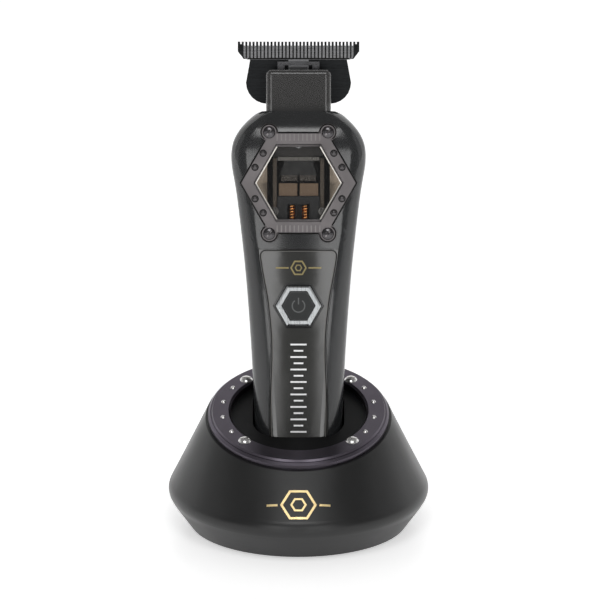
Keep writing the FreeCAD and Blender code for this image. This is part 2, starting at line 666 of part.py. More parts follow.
def inlet_socket():
    where = ("0", "inlet_height")
    back = f"{INLET_FACE} - inlet_length"
    barrel = rod("Y", "inlet_radius", back, INLET_FACE, where)
    foot = box(
        ("-inlet_radius", "inlet_radius"), (back, f"{INLET_FACE} - 5 - running"),
        ("pad_thick + floor_thick + ballast_thick", "inlet_height"),
    )
    hole = rod("Y", "inlet_hole", f"{INLET_FACE} - inlet_depth", f"{INLET_FACE} + 1", where)
    pin = rod("Y", "inlet_pin", f"{INLET_FACE} - inlet_depth - 1", f"{INLET_FACE} - 1", where)
    node("inlet_socket", fuse(cut(fuse(barrel, foot), hole), pin), "stand")


def stand():
    stand_housing()
    stand_base()
    node("anti_slip_pad", rod("Z", PAD_RADIUS, "0", "pad_thick"), "stand")
    ballast()
    screws_up()
    trim_ring()
    ring_fasteners()
    cradle_cup()
    charging_parts()
    inlet_socket()


# ---- trimmer shells -------------------------------------------------------------------------------------

BOSSES = [
    (side * size(f"boss_{level}_x"), size(f"boss_{level}_z"))
    for level in ("low", "high") for side in (-1, 1)
]
BEZEL_SCREWS = [(f"bezel_screw_circle * cos({turn})", f"window_z + bezel_screw_circle * sin({turn})")
                for turn in (60, 120, 240, 300)]


def across(radius, low, high, x, z):
    """A rod along Y, as a plain shape."""
    return Part.makeCylinder(radius, high - low, V(x, low, z), V(0, 1, 0))


def six_sided(radius, low, high, z):
    """A hexagonal prism along Y with a corner at each side, as a plain shape."""
    turns = [math.radians(60 * i) for i in range(7)]
    corners = [V(radius * math.cos(a), low, z + radius * math.sin(a)) for a in turns]
    return Part.Face(Part.makePolygon(corners)).extrude(V(0, high - low, 0))


def panel_face(grow=0.0):
    """The control panel's outline, grown all round, as a face across the trimmer's front."""
    rows = [(size(f"panel_{name}_half") + grow, size(f"panel_{name}_height")) for name in PANEL]
    rows[0] = (rows[0][0], rows[0][1] + grow)
    rows[-1] = (rows[-1][0], rows[-1][1] - grow)
    right = [V(x, 0, z) for x, z in rows]
    left = [V(-x, 0, z) for x, z in rows]
    sides = []
    for points in (right, list(reversed(left))):
        curve = Part.BSplineCurve()
        curve.interpolate(points)
        sides.append(curve.toShape())
    foot = Part.Arc(right[-1], V(0, 0, rows[-1][1] - 1.6), left[-1]).toShape()
    top = Part.LineSegment(left[0], right[0]).toShape()
    return Part.Face(Part.Wire([top, sides[0], foot, sides[1]]))


def skin(face, thickness):
    """What lies under a face on the trimmer's front, down to a thickness."""
    block = face.copy()
    block.translate(V(0, -40, 0))
    return block.extrude(V(0, 40, 0)).common(OUTER.cut(trimmer_body(thickness)))


def seam():
    """A narrow groove round the outside where the two shells meet."""
    low = size("shell_split") - size("seam_width") / 2
    band = Part.makeBox(120, size("seam_width"), 240, V(-60, low, -40))
    return band.common(OUTER.cut(trimmer_body(size("seam_depth"))))


def shells():
    split = size("shell_split")
    wall = size("shell_wall")
    inner = trimmer_body(wall)
    cap = size("cap_height")
    shell = OUTER.cut(inner).cut(slab(-10, cap)).cut(seam())
    half = size("neck_half + slip")
    front = size("neck_front - slip")
    neck = Part.makeBox(2 * half, size("blade_y") + 1.1 - front, 40, V(-half, front, size("crown_height")))
    back = behind(split)
    posts_front = Part.makeCompound([across(size("boss_radius"), -20, split, x, z) for x, z in BOSSES])
    posts_rear = Part.makeCompound([across(size("boss_radius"), split, 20, x, z) for x, z in BOSSES])
    head_top = size("shell_head_top")
    head_low = head_top - size("shell_head_height")
    shanks = Part.makeCompound(
        [across(size("shell_shank_radius + stud_fit"), size("shell_shank_end"), 30, x, z) for x, z in BOSSES]
    )
    heads = Part.makeCompound(
        [across(size("shell_head_radius") + size("slip"), head_low, 30, x, z) for x, z in BOSSES]
    )
    window = six_sided(size(f"{BEZEL_PLUG} + slip"), -30, size("frame_front"), size("window_z"))
    button = six_sided(size(BUTTON_BORE), -30, -10, size("button_z"))
    screws = Part.makeCompound([
        across(size("bezel_shank_radius + stud_fit"), -30, size("bezel_shank_end"), size(x), size(z))
        for x, z in BEZEL_SCREWS
    ])
    pocket = skin(panel_face(size("panel_groove")), size("panel_thick + panel_bed"))
    front = shell.cut(back).fuse(posts_front.common(OUTER))
    front = front.cut(neck).cut(window).cut(button).cut(pocket).cut(screws).cut(shanks)
    rear = shell.common(back).fuse(posts_rear.common(OUTER)).cut(neck).cut(shanks).cut(heads)
    node("front_shell", feature("front", front), "trimmer")
    node("rear_shell", feature("rear", rear), "trimmer")
    spigot = trimmer_body(wall + size("slip")).common(slab(0, cap + size("cap_spigot")))
    cap_shape = OUTER.common(slab(-10, cap)).fuse(spigot)
    contacts = [
        Part.makeCylinder(size("contact_radius + stud_fit"), size("contact_thick"), V(size(x), size(y), 0))
        for x, y in PINS
    ]
    cap_shape = cap_shape.cut(Part.makeCompound(contacts))
    node("bottom_cap", feature("cap", cap_shape), "trimmer")
    shell_screws = [
        across(size("shell_head_radius"), head_low, head_top, x, z).fuse(
            across(size("shell_shank_radius"), size("shell_shank_end"), head_low, x, z))
        for x, z in BOSSES
    ]
    drive = [Part.makeBox(0.8, 0.8, 3.2, V(x - 0.4, head_top - 0.7, z - 1.6)) for x, z in BOSSES]
    cross = [Part.makeBox(3.2, 0.8, 0.8, V(x - 1.6, head_top - 0.7, z - 0.4)) for x, z in BOSSES]
    crossed = Part.makeCompound([one.cut(a).cut(b) for one, a, b in zip(shell_screws, drive, cross)])
    node("shell_screws", feature("screws", crossed), "trimmer")


def control_panel():
    shape = skin(panel_face(), size("panel_thick"))
    shape = shape.cut(six_sided(size(BUTTON_RECESS), -30, -5, size("button_z")))
    node("control_panel", feature("panel", shape), "trimmer")


def power_button():
    middle = ("0", "button_z")
    flange_back = "button_flange_face + button_flange_thick"
    cap = fuse(
        eased(hexagon(BUTTON_CAP, "button_face", flange_back, middle), "Fillet", "button_round",
              edges_at("button_face")),
        hexagon(BUTTON_FLANGE, "button_flange_face", flange_back, middle),
        rod("Y", "button_stem", "button_flange_face", "button_stem_end", middle),
    )
    node("power_button_cap", cap)
    ring = eased(
        hexagon("button_ring_outer", "button_ring_face", "button_flange_face", middle),
        "Chamfer", "button_round", edges_at("button_ring_face"),
    )
    hole = hexagon("button_ring_inner", "button_ring_face - 1", "button_flange_face + 1", middle)
    node("power_button_ring", cut(ring, hole))


def edges_at(face):
    """Picks the edges that lie in one plane across the trimmer."""
    at = size(face)
    return lambda edge: max(abs(edge.BoundBox.YMin - at), abs(edge.BoundBox.YMax - at)) < 0.01


def neck_cover():
    outer = eased(
        box(("-neck_half", "neck_half"), ("neck_front", "neck_back"), ("neck_bottom", "neck_top")),
        "Fillet", "neck_round", neck_edges,
    )
    flange = box(
        (f"-{NECK_FLANGE_HALF}", NECK_FLANGE_HALF), ("neck_flange_front", "neck_back"),
        ("neck_bottom", "neck_bottom + neck_flange_thick"),
    )
    inside = box(
        ("-neck_half + neck_wall", "neck_half - neck_wall"), ("neck_front + neck_wall", "neck_back + 10"),
        ("neck_bottom - 1", "neck_top - neck_wall"),
    )
    mouth = box(
        (f"-{NECK_MOUTH_HALF}", NECK_MOUTH_HALF), ("neck_mouth_front", "neck_back + 10"),
        ("neck_top - 5", "neck_top + 5"),
    )
    node("neck_cover", cut(fuse(outer, flange), inside, mouth))


def neck_edges(edge):
    """The cover's upper front and side edges, and its two upright front edges."""
    box_ = edge.BoundBox
    top = abs(box_.ZMin - size("neck_top")) < 0.01 and box_.YMin < size("neck_back") - 0.01
    upright = box_.ZLength > 10 and abs(box_.YMax - size("neck_front")) < 0.01
    return top or upright


# ---- window ---------------------------------------------------------------------------------------------

def bezel():
    centre = size("window_z")
    face = size("bezel_face")
    skirt_back = size("bezel_skirt")
    plate_ = six_sided(size("bezel_outer"), face, skirt_back, centre)
    lobes = [across(size("lobe_radius"), face, skirt_back, size(x), size(z)) for x, z in BEZEL_SCREWS]
    rim = plate_.multiFuse(lobes).removeSplitter()
    front = [edge for edge in rim.Edges if edge.BoundBox.YMax < face + 0.01]
    rim = rim.makeChamfer(size("bezel_bevel"), front)
    rim = rim.cut(OUTER)
    plug = six_sided(size(BEZEL_PLUG), face + 1, size("bezel_back"), centre)
    whole = rim.fuse(plug)
    ledge = size("lens_face + lens_thick")
    whole = whole.cut(six_sided(size("opening"), -40, ledge, centre))
    whole = whole.cut(six_sided(size(OPENING_LIP), -40, 0, centre))
    sink = size("bezel_sink")
    for x, z in BEZEL_SCREWS:
        groove = across(size("bezel_groove"), face - 1, face + sink, size(x), size(z))
        hole = across(size("bezel_shank_radius + stud_fit"), -40, 0, size(x), size(z))
        whole = whole.cut(groove).cut(hole)
    for x, z in bezel_stud_places():
        whole = whole.cut(across(size("ring_stud_shank + stud_fit"), -40, face + 1.5, x, z))
    half = size("knurl_half")
    for side in (-1, 1):
        bars = [
            Part.makeBox(0.7, 1, 2 * size("knurl_height"), V(x, face - size("knurl_raise"),
                         centre + side * size("knurl_offset") - size("knurl_height")))
            for x in (half * (2 * i / 10 - 1) - 0.35 for i in range(11))
        ]
        whole = whole.multiFuse(bars)
    node("window_bezel", feature("bezel", whole.Solids[0] if len(whole.Solids) == 1 else whole), "trimmer")


def bezel_stud_places():
    """Two studs on each slanted side of the bezel, either side of its middle."""
    places = []
    for turn in (30, 150, 210, 330):
        angle = math.radians(turn)
        for step in (-1, 1):
            reach = size("bezel_stud_apothem")
            slide = step * size("bezel_stud_offset")
            x = reach * math.cos(angle) - slide * math.sin(angle)
            z = size("window_z") + reach * math.sin(angle) + slide * math.cos(angle)
            places.append((x, z))
    return places


def facing_front(made, x, face, z):
    """Turn a head made along Z so that it faces the front, at a place on the face."""
    made.Placement = FreeCAD.Placement(V(size(x), size(face), size(z)), FreeCAD.Rotation(V(1, 0, 0), 90))
    for letter, text in zip("xyz", (x, face, z)):
        made.setExpression(f"Placement.Base.{letter}", bound(text))
    return made


def window_fittings():
    lens = hexagon(LENS_RADIUS, "lens_face", "lens_face + lens_thick", ("0", "window_z"))
    node("window_lens", eased(lens, "Chamfer", "lens_bevel", edges_at("lens_face")))
    floor = "bezel_face + bezel_sink"
    reach = f"bezel_shank_end - ({floor})"
    centre = ("0", "0")
    screws = []
    for x, z in BEZEL_SCREWS:
        screw = domed("bezel_head_radius", "bezel_head_height", centre, "bezel_shank_radius", reach)
        screws.append(facing_front(screw, x, floor, z))
    node("bezel_screws", group(*screws))
    studs = []
    for x, z in bezel_stud_places():
        stud = domed("bezel_stud_radius", "bezel_stud_height", centre, "ring_stud_shank", "1.5", False)
        studs.append(facing_front(stud, str(x), "bezel_face", str(z)))
    node("bezel_studs", group(*studs))


# ---- motor ----------------------------------------------------------------------------------------------

CORE_SCREWS = [(f"{side} * core_screw_x", "core_screw_z") for side in (-1, 1)]


def bulkhead(low, high):
    """A cross wall that fits the shells' inside."""
    return trimmer_body(size("shell_wall + slip")).common(slab(low, high))


def boss_clearance(reach=0.0):
    """Room round the screw posts."""
    radius = size("boss_radius + running") + reach
    return Part.makeCompound([across(radius, -30, 30, x, z) for x, z in BOSSES])


def motor_frame():
    low = size("bulkhead_low")
    thick = size("bulkhead_thick")
    top = size("frame_top")
    half = size("frame_half")
    front = size("frame_front")
    rear = size("frame_rear")
    back_plate = size("frame_back_plate")
    side = size("frame_side")
    bottom = size("frame_bottom")
    cage = Part.makeBox(2 * half, rear - front, top - bottom, V(-half, front, bottom))
    room = Part.makeBox(
        2 * (half - side), rear - front - size("frame_plate") - back_plate, 30,
        V(side - half, front + size("frame_plate"), bottom - 1),
    )
    spine = Part.makeBox(2 * half, back_plate, top - low, V(-half, rear - back_plate, low))
    ledge = top - thick
    walls = bulkhead(low, low + thick).fuse(bulkhead(ledge, top))
    shape = cage.fuse(walls.cut(room)).fuse(spine).cut(room)
    for x, z in CORE_SCREWS:
        lug = Part.makeBox(3.2, rear - size("core_back"), size("lug_height"),
                           V(size(x) - 1.6, size("core_back"), size(z) - size("lug_height") / 2))
        shape = shape.fuse(lug)
    for x, z in CORE_SCREWS:
        shape = shape.cut(across(size("core_screw_shank + stud_fit"), -20, 20, size(x), size(z)))
    shape = shape.cut(across(size("pivot_radius + stud_fit"), -20, 20, 0, size("pivot_z")))
    shape = shape.cut(boss_clearance())
    for hand in (-1, 1):
        start = V(hand * size("lead_x"), lead_y(), low - 10)
        lead = Part.makeCylinder(size("lead_radius + slip"), 30, start)
        shape = shape.cut(lead)
    bezel_room = six_sided(size(f"{BEZEL_PLUG} + slip"), -30, size("frame_front"), size("window_z"))
    shape = shape.cut(bezel_room)
    shank_end = size("bezel_shank_end + slip")
    shank = size("bezel_shank_radius + slip")
    screws = [across(shank, -30, shank_end, size(x), size(z)) for x, z in BEZEL_SCREWS]
    shape = shape.cut(Part.makeCompound(screws))
    node("motor_frame", feature("motor_frame", shape), "trimmer")


def motor_core():
    inner = "core_half - core_side"
    height = ("core_bottom", "core_bottom + core_base")
    base = box(("-core_half", "core_half"), ("core_front", "core_back"), height)
    sides = [
        box(("core_half * -1", f"-({inner})"), ("core_front", "core_back"), ("core_bottom", "core_top")),
        box((inner, "core_half"), ("core_front", "core_back"), ("core_bottom", "core_top")),
    ]
    legs = [leg(side, "core_leg_half", "core_bottom", "pole_bottom") for side in (-1, 1)]
    holes = [rod("Y", "core_screw_shank + stud_fit", "-20", "20", at) for at in CORE_SCREWS]
    node("motor_core", cut(fuse(base, *sides, *legs), *holes))
    screws = [
        fuse(
            rod("Y", "core_screw_head", "core_front - core_screw_head_height", "core_front", at),
            rod("Y", "core_screw_shank", "core_front", "frame_rear", at),
        )
        for at in CORE_SCREWS
    ]
    node("core_screws", group(*screws))


def leg(side, half, low, high):
    """An iron leg, as seen from the front."""
    centre = f"{side} * core_leg_x"
    width = (f"{centre} - ({half})", f"{centre} + ({half})")
    return box(width, ("core_front + 1", "core_back - 1"), (low, high))


def coils():
    base = "core_bottom + core_base"
    room_top = "bobbin_top - flange_height"
    block = box(("-bobbin_half", "bobbin_half"), ("bobbin_front", "bobbin_back"), (base, "bobbin_top"))
    room = box(
        ("-core_leg_x - coil_half - running", "core_leg_x + coil_half + running"),
        ("bobbin_front - 1", "bobbin_back - 0.8"), (f"{base} + 1.2", room_top),
    )
    legs = [leg(side, "core_leg_half + stud_fit", "core_bottom", "pole_top") for side in (-1, 1)]
    screws = [rod("Y", "core_screw_head + slip", "-20", "core_front", at) for at in CORE_SCREWS]
    node("coil_bobbin", cut(block, room, *legs, *screws))
    wound = []
    for side in (-1, 1):
        centre = f"{side} * core_leg_x"
        coil = box(
            (f"{centre} - coil_half", f"{centre} + coil_half"), ("coil_front", "coil_back"),
            (f"{base} + 1.2", room_top),
        )
        rounded = eased(coil, "Fillet", "coil_round", upright)
        wound.append(cut(rounded, leg(side, "core_leg_half", "80", "110")))
    node("drive_coils", group(*wound))
    poles = [
        box(("-pole_half", "-0.4"), ("core_front", "core_back"), ("pole_bottom", "pole_top")),
        box(("0.4", "pole_half"), ("core_front", "core_back"), ("pole_bottom", "pole_top")),
    ]
    node("pole_shoes", group(*poles))


def upright(edge):
    return edge.BoundBox.ZLength > 1


def armature():
    where = ("0", "pivot_z")
    back = "arm_front"
    hub = rod("Y", HUB_RADIUS, "hub_front", back, where)
    block = plate(mirrored_outline([
        ("yoke_half_low", "yoke_bottom"), ("yoke_half_top", "clip_z - clip_height"),
        ("yoke_half_top", "yoke_top"),
    ]), "hub_front", "yoke_back")
    bore = rod("Y", BUSH_OUTER, "-20", "20", where)
    node("armature_yoke", cut(fuse(hub, block), bore))
    node("armature_plate", box(
        ("-clip_half", "clip_half"), ("hub_front - clip_thick", "hub_front"),
        ("clip_z", "clip_z + clip_height"),
    ))
    low = "pole_top + magnet_gap"
    magnets = [
        box(("-yoke_half_low + 0.4", "-0.4"), ("core_front", "core_back"), (low, f"{low} + magnet_thick")),
        box(("0.4", "yoke_half_low - 0.4"), ("core_front", "core_back"), (low, f"{low} + magnet_thick")),
    ]
    node("armature_magnets", group(*magnets))
    arm = plate(mirrored_outline([
        ("arm_half_low", f"pivot_z - {HUB_RADIUS}"), ("arm_half_low", f"pivot_z + {HUB_RADIUS}"),
        ("arm_half_tip", "arm_tip_z - 5"), ("arm_half_tip", "arm_tip_z"),
    ]), "arm_front", "arm_front + arm_thick")
    node("drive_arm", cut(arm, rod("Y", BUSH_OUTER, "-20", "20", where)))
    bush = rod("Y", BUSH_OUTER, "hub_front", "arm_front + arm_thick", where)
    node("pivot_bush", cut(bush, rod("Y", "pivot_radius + shaft_play", "-20", "20", where)))
    node("pivot_pin", rod("Y", "pivot_radius", "frame_front", "frame_rear", where))


# ---- power ----------------------------------------------------------------------------------------------

def lead_y():
    """The leads lie just in front of the circuit board."""
    return size("holder_front - board_thick - lead_radius - 0.1")


def power():
    where = ("0", "cell_y")
    top = "cell_bottom + cell_length"
    cell = fuse(
        rod("Z", "cell_radius", "cell_bottom", top, where),
        rod("Z", "cell_cap_radius", top, f"{top} + cell_cap_height", where),
    )
    node("battery_cell", cell)
    bottom = size("cell_bottom")
    high = size(top)
    wall = size("holder_wall")
    half = size("holder_half")
    front = size("holder_front")
    deep = size("holder_back") - front
    saddle = Part.makeBox(2 * half, deep, high - bottom + 1, V(-half, front, bottom - 0.5))
    low_wall = bulkhead(bottom - wall - size("cell_clear"), bottom - size("cell_clear"))
    cap_top = high + size("cell_cap_height")
    high_wall = bulkhead(high + size("cell_clear"), high + wall + size("cell_clear"))
    room = Part.makeCylinder(size("cell_radius + cell_clear"), high - bottom + 2 * size("cell_clear"),
                             V(0, size("cell_y"), bottom - size("cell_clear")))
    nose = Part.makeCylinder(size("cell_cap_radius + slip"), 4, V(0, size("cell_y"), cap_top - 2.5))
    shape = saddle.common(trimmer_body(size("shell_wall + slip")))
    shape = shape.fuse(low_wall).fuse(high_wall).cut(room).cut(nose)
    for side in (-1, 1):
        start = V(side * size("lead_x"), lead_y(), high - 10)
        lead = Part.makeCylinder(size("lead_radius + slip"), 30, start)
        shape = shape.cut(lead)
    board_room = Part.makeBox(60, 20, size("board_top") - size("board_bottom") + 0.4,
                              V(-30, front - 20, size("board_bottom") - 0.2))
    shape = shape.cut(board_room)
    node("battery_holder", feature("holder", shape), "trimmer")


def electronics():
    face = "holder_front - board_thick"
    board = box(("-board_half", "board_half"), (face, "holder_front"), ("board_bottom", "board_top"))
    node("circuit_board", board)
    middle = ("0", "button_z")
    switch = box(
        ("-switch_half", "switch_half"), (f"{face} - switch_thick", face),
        ("button_z - switch_half", "button_z + switch_half"),
    )
    plunger = rod("Y", "switch_plunger", f"{face} - switch_thick - switch_reach", face, middle)
    node("button_switch", fuse(switch, plunger))
    leads = [
        rod("Z", "lead_radius", "lead_bottom", "core_bottom + core_base", (f"{side} * lead_x", str(lead_y())))
        for side in (-1, 1)
    ]
    node("motor_leads", group(*leads))


# ---- blade set ------------------------------------------------------------------------------------------

def blade_outline():
    """Right half of the fixed blade, from the middle of its lower edge to its tips."""
    corner = [(f"blade_half - blade_round + blade_round * sin({turn})",
               f"blade_round - blade_round * cos({turn})") for turn in range(0, 91, 15)]
    return corner + [
        ("blade_waist", "blade_waist_z"), ("cutter_half", "blade_waist_z"), ("ear_half", "ear_z"),
        ("ear_half", "blade_tip_z"),
    ]


def fixed_blade():
    body = plate(mirrored_outline(blade_outline()), "0", "blade_thick")
    slot_row(body, "tooth", "tooth_pitch", "tooth_count", "tooth_slot", "tooth_root_z", "blade_tip_z + 1")
    holes = [
        rod("Y", "blade_shank_radius + stud_fit", "-5", "5", (f"{side} * blade_screw_x", "blade_screw_z"))
        for side in (-1, 1)
    ]
    threads = [
        rod("Y", "post_shank_radius + stud_fit", "-5", "5", (f"{side} * lug_x", "lug_z")) for side in (-1, 1)
    ]
    hone = box(("-30", "30"), ("0", "5"), ("-2", "12"))
    hone.Placement = FreeCAD.Placement(V(-30, size("blade_thick"), size("tooth_root_z")),
                                       FreeCAD.Rotation(V(1, 0, 0), 12))
    for letter, text in zip("yz", ("blade_thick", "tooth_root_z - 1")):
        hone.setExpression(f"Placement.Base.{letter}", bound(text))
    node("fixed_blade", cut(body, *holes, *threads, hone), "blade")


def cutter():
    corner = [(f"cutter_half - cutter_round + cutter_round * sin({turn})",
               f"cutter_low_z + cutter_round - cutter_round * cos({turn})") for turn in (0, 30, 60, 90)]
    outline = [("tongue_half", "tongue_z"), ("tongue_half", "cutter_low_z")] + corner
    outline = outline + [("cutter_half", "cutter_high_z")]
    body = plate(mirrored_outline(outline), "-cutter_thick", "0")
    row = ("tooth_pitch", "cutter_count", "tooth_slot")
    slot_row(body, "tooth", *row, "cutter_root_z", "cutter_high_z + 1")
    slot_row(body, "ridge", *row, "ridge_low_z", "cutter_root_z + 0.1",
             ("-cutter_thick + ridge_depth", "ridge_depth + 1"))
    node("cutter_blade", body, "blade")
    low = box(("-guide_half", "guide_half"), ("guide_front", "guide_back"), ("guide_low_z", "guide_top_z"))
    high = box(("-guide_half", "guide_half"), ("guide_front", "-cutter_thick"), ("tongue_z", "guide_top_z"))
    slot = box(
        ("-arm_half_tip - guide_play", "arm_half_tip + guide_play"), ("slot_front", "slot_back"),
        ("blade_z - 10", "slot_top"),
    )
    holder = group(slot)
    tip = size("blade_tip")
    base = V(0, size("blade_y"), size("blade_z"))
    holder.Placement = FreeCAD.Placement(base, FreeCAD.Rotation(V(1, 0, 0), tip)).inverse()
    node("cutter_guide", cut(fuse(low, high), holder), "blade")


def blade_fittings():
    mount = box((f"-{MOUNT_HALF}", MOUNT_HALF), ("-mount_thick", "0"), ("mount_low_z", "mount_high_z"))
    places = [(f"{side} * blade_screw_x", "blade_screw_z") for side in (-1, 1)]
    holes = [rod("Y", "blade_shank_radius + stud_fit", "-blade_shank_length", "5", at) for at in places]
    node("blade_mount", cut(mount, *holes), "blade")
    screws = []
    for at in places:
        head = rod("Y", "blade_head_radius", "blade_thick", "blade_thick + blade_head_height", at)
        shank = rod("Y", "blade_shank_radius", "-blade_shank_length", "blade_thick", at)
        slot = box(
            (f"{at[0]} - 3", f"{at[0]} + 3"), ("blade_thick + blade_head_height - 0.5", "blade_thick + 5"),
            (f"{at[1]} - slot_width / 2", f"{at[1]} + slot_width / 2"),
        )
        screws.append(cut(fuse(head, shank), slot))
    node("blade_screws", group(*screws), "blade")
    bar = box(("-bar_half", "bar_half"), ("bar_front", "bar_back"), ("bar_low_z", "bar_high_z"))
    feet = []
    posts = []
    for side in (-1, 1):
        at = (f"{side} * lug_x", "lug_z")
        x = (f"{at[0]} - lug_half", f"{at[0]} + lug_half")
        feet.append(box(x, ("bar_front", "0"), ("lug_z - lug_half", "bar_low_z + 0.2")))
        head = rod("Y", "post_head_radius", "bar_front - post_head_height", "bar_front", at)
        posts.append(fuse(head, rod("Y", "post_shank_radius", "bar_front", "blade_thick", at)))
    places = [(f"{side} * lug_x", "lug_z") for side in (-1, 1)]
    holes = [rod("Y", "post_shank_radius + stud_fit", "-9", "9", at) for at in places]
    node("tension_bar", cut(fuse(bar, *feet), *holes), "blade")
    node("tension_screws", group(*posts), "blade")


def trimmer():
    shells()
    control_panel()
    power_button()
    neck_cover()
    bezel()
    window_fittings()
    motor_frame()
    motor_core()
    coils()
    armature()
    power()
    electronics()
    fixed_blade()
    cutter()
    blade_fittings()


def write():
    DOC.recompute()
    bad = [one.Name for one in DOC.Objects if any(word in one.State for word in ("Invalid", "Error"))]
    if bad:
        raise SystemExit(f"failed objects: {bad}")
    for name, made in NODES.items():
        if made.Shape.isNull() or not made.Shape.isValid() or not made.Shape.Solids:
            raise SystemExit(f"bad shape: {name}")
    os.makedirs("parts", exist_ok=True)
    for name, made in NODES.items():
        made.Shape.exportStep(f"parts/{name}.step")
        print(name, len(made.Shape.Solids), round(made.Shape.Volume, 1))


OUTER = trimmer_body()
stand()
trimmer()
write()
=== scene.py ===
import json
import math

import bpy
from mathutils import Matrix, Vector
from mathutils.bvhtree import BVHTree


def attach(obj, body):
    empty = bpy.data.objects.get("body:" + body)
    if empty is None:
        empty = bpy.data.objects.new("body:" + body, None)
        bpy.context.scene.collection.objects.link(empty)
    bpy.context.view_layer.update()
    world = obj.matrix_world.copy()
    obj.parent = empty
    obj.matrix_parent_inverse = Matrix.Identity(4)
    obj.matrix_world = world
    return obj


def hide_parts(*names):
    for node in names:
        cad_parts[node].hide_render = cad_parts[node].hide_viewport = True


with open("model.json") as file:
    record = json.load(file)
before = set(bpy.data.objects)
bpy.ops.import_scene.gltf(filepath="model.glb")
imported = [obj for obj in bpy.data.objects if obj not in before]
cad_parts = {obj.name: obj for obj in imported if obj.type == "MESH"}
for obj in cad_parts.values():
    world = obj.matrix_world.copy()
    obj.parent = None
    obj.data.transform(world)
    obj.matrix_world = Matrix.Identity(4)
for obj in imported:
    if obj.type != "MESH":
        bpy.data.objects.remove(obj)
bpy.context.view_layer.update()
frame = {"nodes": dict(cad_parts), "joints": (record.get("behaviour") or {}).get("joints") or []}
NODES = frame["nodes"]
MM = 0.001

# The trimmer's own axes, read from the frame: it leans back about X, and slides along its length.
JOINTS = {joint["name"]: joint for joint in frame["joints"]}
RIGHT = Vector((1, 0, 0))
UP = Vector(JOINTS["trimmer_lift"]["axis"])
INWARD = Vector(JOINTS["power_button_press"]["axis"])
PIVOT = Vector(JOINTS["armature_swing"]["pos_m"])
PIVOT_HEIGHT = 118 * MM
FOOT = PIVOT - UP * PIVOT_HEIGHT


def spot(x, y, z):
    """A point of the trimmer's own frame, in millimetres, as a place in the row frame."""
    return FOOT + Vector((x * MM, 0, 0)) + INWARD * (y * MM) + UP * (z * MM)


# ---- materials ------------------------------------------------------------------------------------------

EVEN = (1, 1, 1)
PATCH_DARK, PATCH_LIGHT = 0.35, 0.65      # the noise values between which patches go from dark to light
NOISE_LOW, NOISE_HIGH = 0.3, 0.7          # the middle range of a noise, where most of its values are
SMOOTHEST = 0.02
CREASE = math.radians(30)


class Finish:
    """A Principled material with the texture nodes that its surface needs."""

    def __init__(self, name, color, roughness, **sockets):
        self.material = bpy.data.materials.new(name)
        self.material.use_nodes = True
        self.tree = self.material.node_tree
        self.shader = self.tree.nodes["Principled BSDF"]
        self.color = color
        self.roughness = roughness
        self.shader.inputs["Base Color"].default_value = (*color, 1)
        self.shader.inputs["Roughness"].default_value = roughness
        for socket, value in sockets.items():
            self.shader.inputs[socket.replace("_", " ")].default_value = value
        self.place = self.node("ShaderNodeTexCoord").outputs["Object"]

    def node(self, kind):
        return self.tree.nodes.new(kind)

    def link(self, start, end):
        self.tree.links.new(start, end)

    def noise(self, scale, detail, stretch):
        """A noise in object coordinates, stretched where the grain has a direction."""
        made = self.node("ShaderNodeTexNoise")
        made.inputs["Scale"].default_value = scale
        made.inputs["Detail"].default_value = detail
        mapping = self.node("ShaderNodeMapping")
        mapping.inputs["Scale"].default_value = stretch
        self.link(self.place, mapping.inputs["Vector"])
        self.link(mapping.outputs["Vector"], made.inputs["Vector"])
        return made.outputs["Fac"]

    def spread(self, value, low, high):
        """Map a noise's middle range to low..high."""
        made = self.node("ShaderNodeMapRange")
        made.inputs["From Min"].default_value = NOISE_LOW
        made.inputs["From Max"].default_value = NOISE_HIGH
        made.inputs["To Min"].default_value = low
        made.inputs["To Max"].default_value = high
        self.link(value, made.inputs["Value"])
        return made.outputs["Result"]

    def mottled(self, amount, scale=90.0, stretch=EVEN):
        """Slightly lighter and darker patches of the base colour."""
        ramp = self.node("ShaderNodeValToRGB")
        ramp.color_ramp.elements[0].position = PATCH_DARK
        ramp.color_ramp.elements[1].position = PATCH_LIGHT
        for element, share in zip(ramp.color_ramp.elements, (1 - amount, 1 + amount)):
            element.color = (*[min(1.0, channel * share) for channel in self.color], 1)
        self.link(self.noise(scale, detail=3.0, stretch=stretch), ramp.inputs["Fac"])
        self.link(ramp.outputs["Color"], self.shader.inputs["Base Color"])
        return self

    def smudged(self, amount, scale=60.0, stretch=EVEN):
        """Roughness that wanders, as on a handled surface."""
        low = max(SMOOTHEST, self.roughness - amount)
        wandering = self.noise(scale, detail=4.0, stretch=stretch)
        varied = self.spread(wandering, low, self.roughness + amount)
        self.link(varied, self.shader.inputs["Roughness"])
        return self

    def grained(self, strength, scale, stretch=EVEN, distance=0.02 * MM):
        """A fine moulded or brushed grain."""
        bump = self.node("ShaderNodeBump")
        bump.inputs["Strength"].default_value = strength
        bump.inputs["Distance"].default_value = distance
        self.link(self.noise(scale, detail=2.0, stretch=stretch), bump.inputs["Height"])
        self.link(bump.outputs["Normal"], self.shader.inputs["Normal"])
        return self


def moulded(name, color, roughness, grain, scale=2600.0, **sockets):
    """A moulded or cast surface with a fine matt grain."""
    return Finish(name, color, roughness, **sockets).mottled(0.08).smudged(0.04).grained(grain, scale)


def polished(name, color, roughness, **sockets):
    """Gloss plastic with faint smudges and a very slight ripple from the mould."""
    made = Finish(name, color, roughness, **sockets).mottled(0.05, scale=40.0).smudged(0.03, scale=45.0)
    return made.grained(0.02, scale=20.0, distance=0.05 * MM)


def brushed(name, color, roughness, stretch, **sockets):
    """Metal with a fine grain, drawn out by the stretch."""
    made = Finish(name, color, roughness, Metallic=1.0, **sockets).mottled(0.1, 200.0, stretch)
    return made.smudged(0.06, 120.0, stretch).grained(0.05, 500.0, stretch)


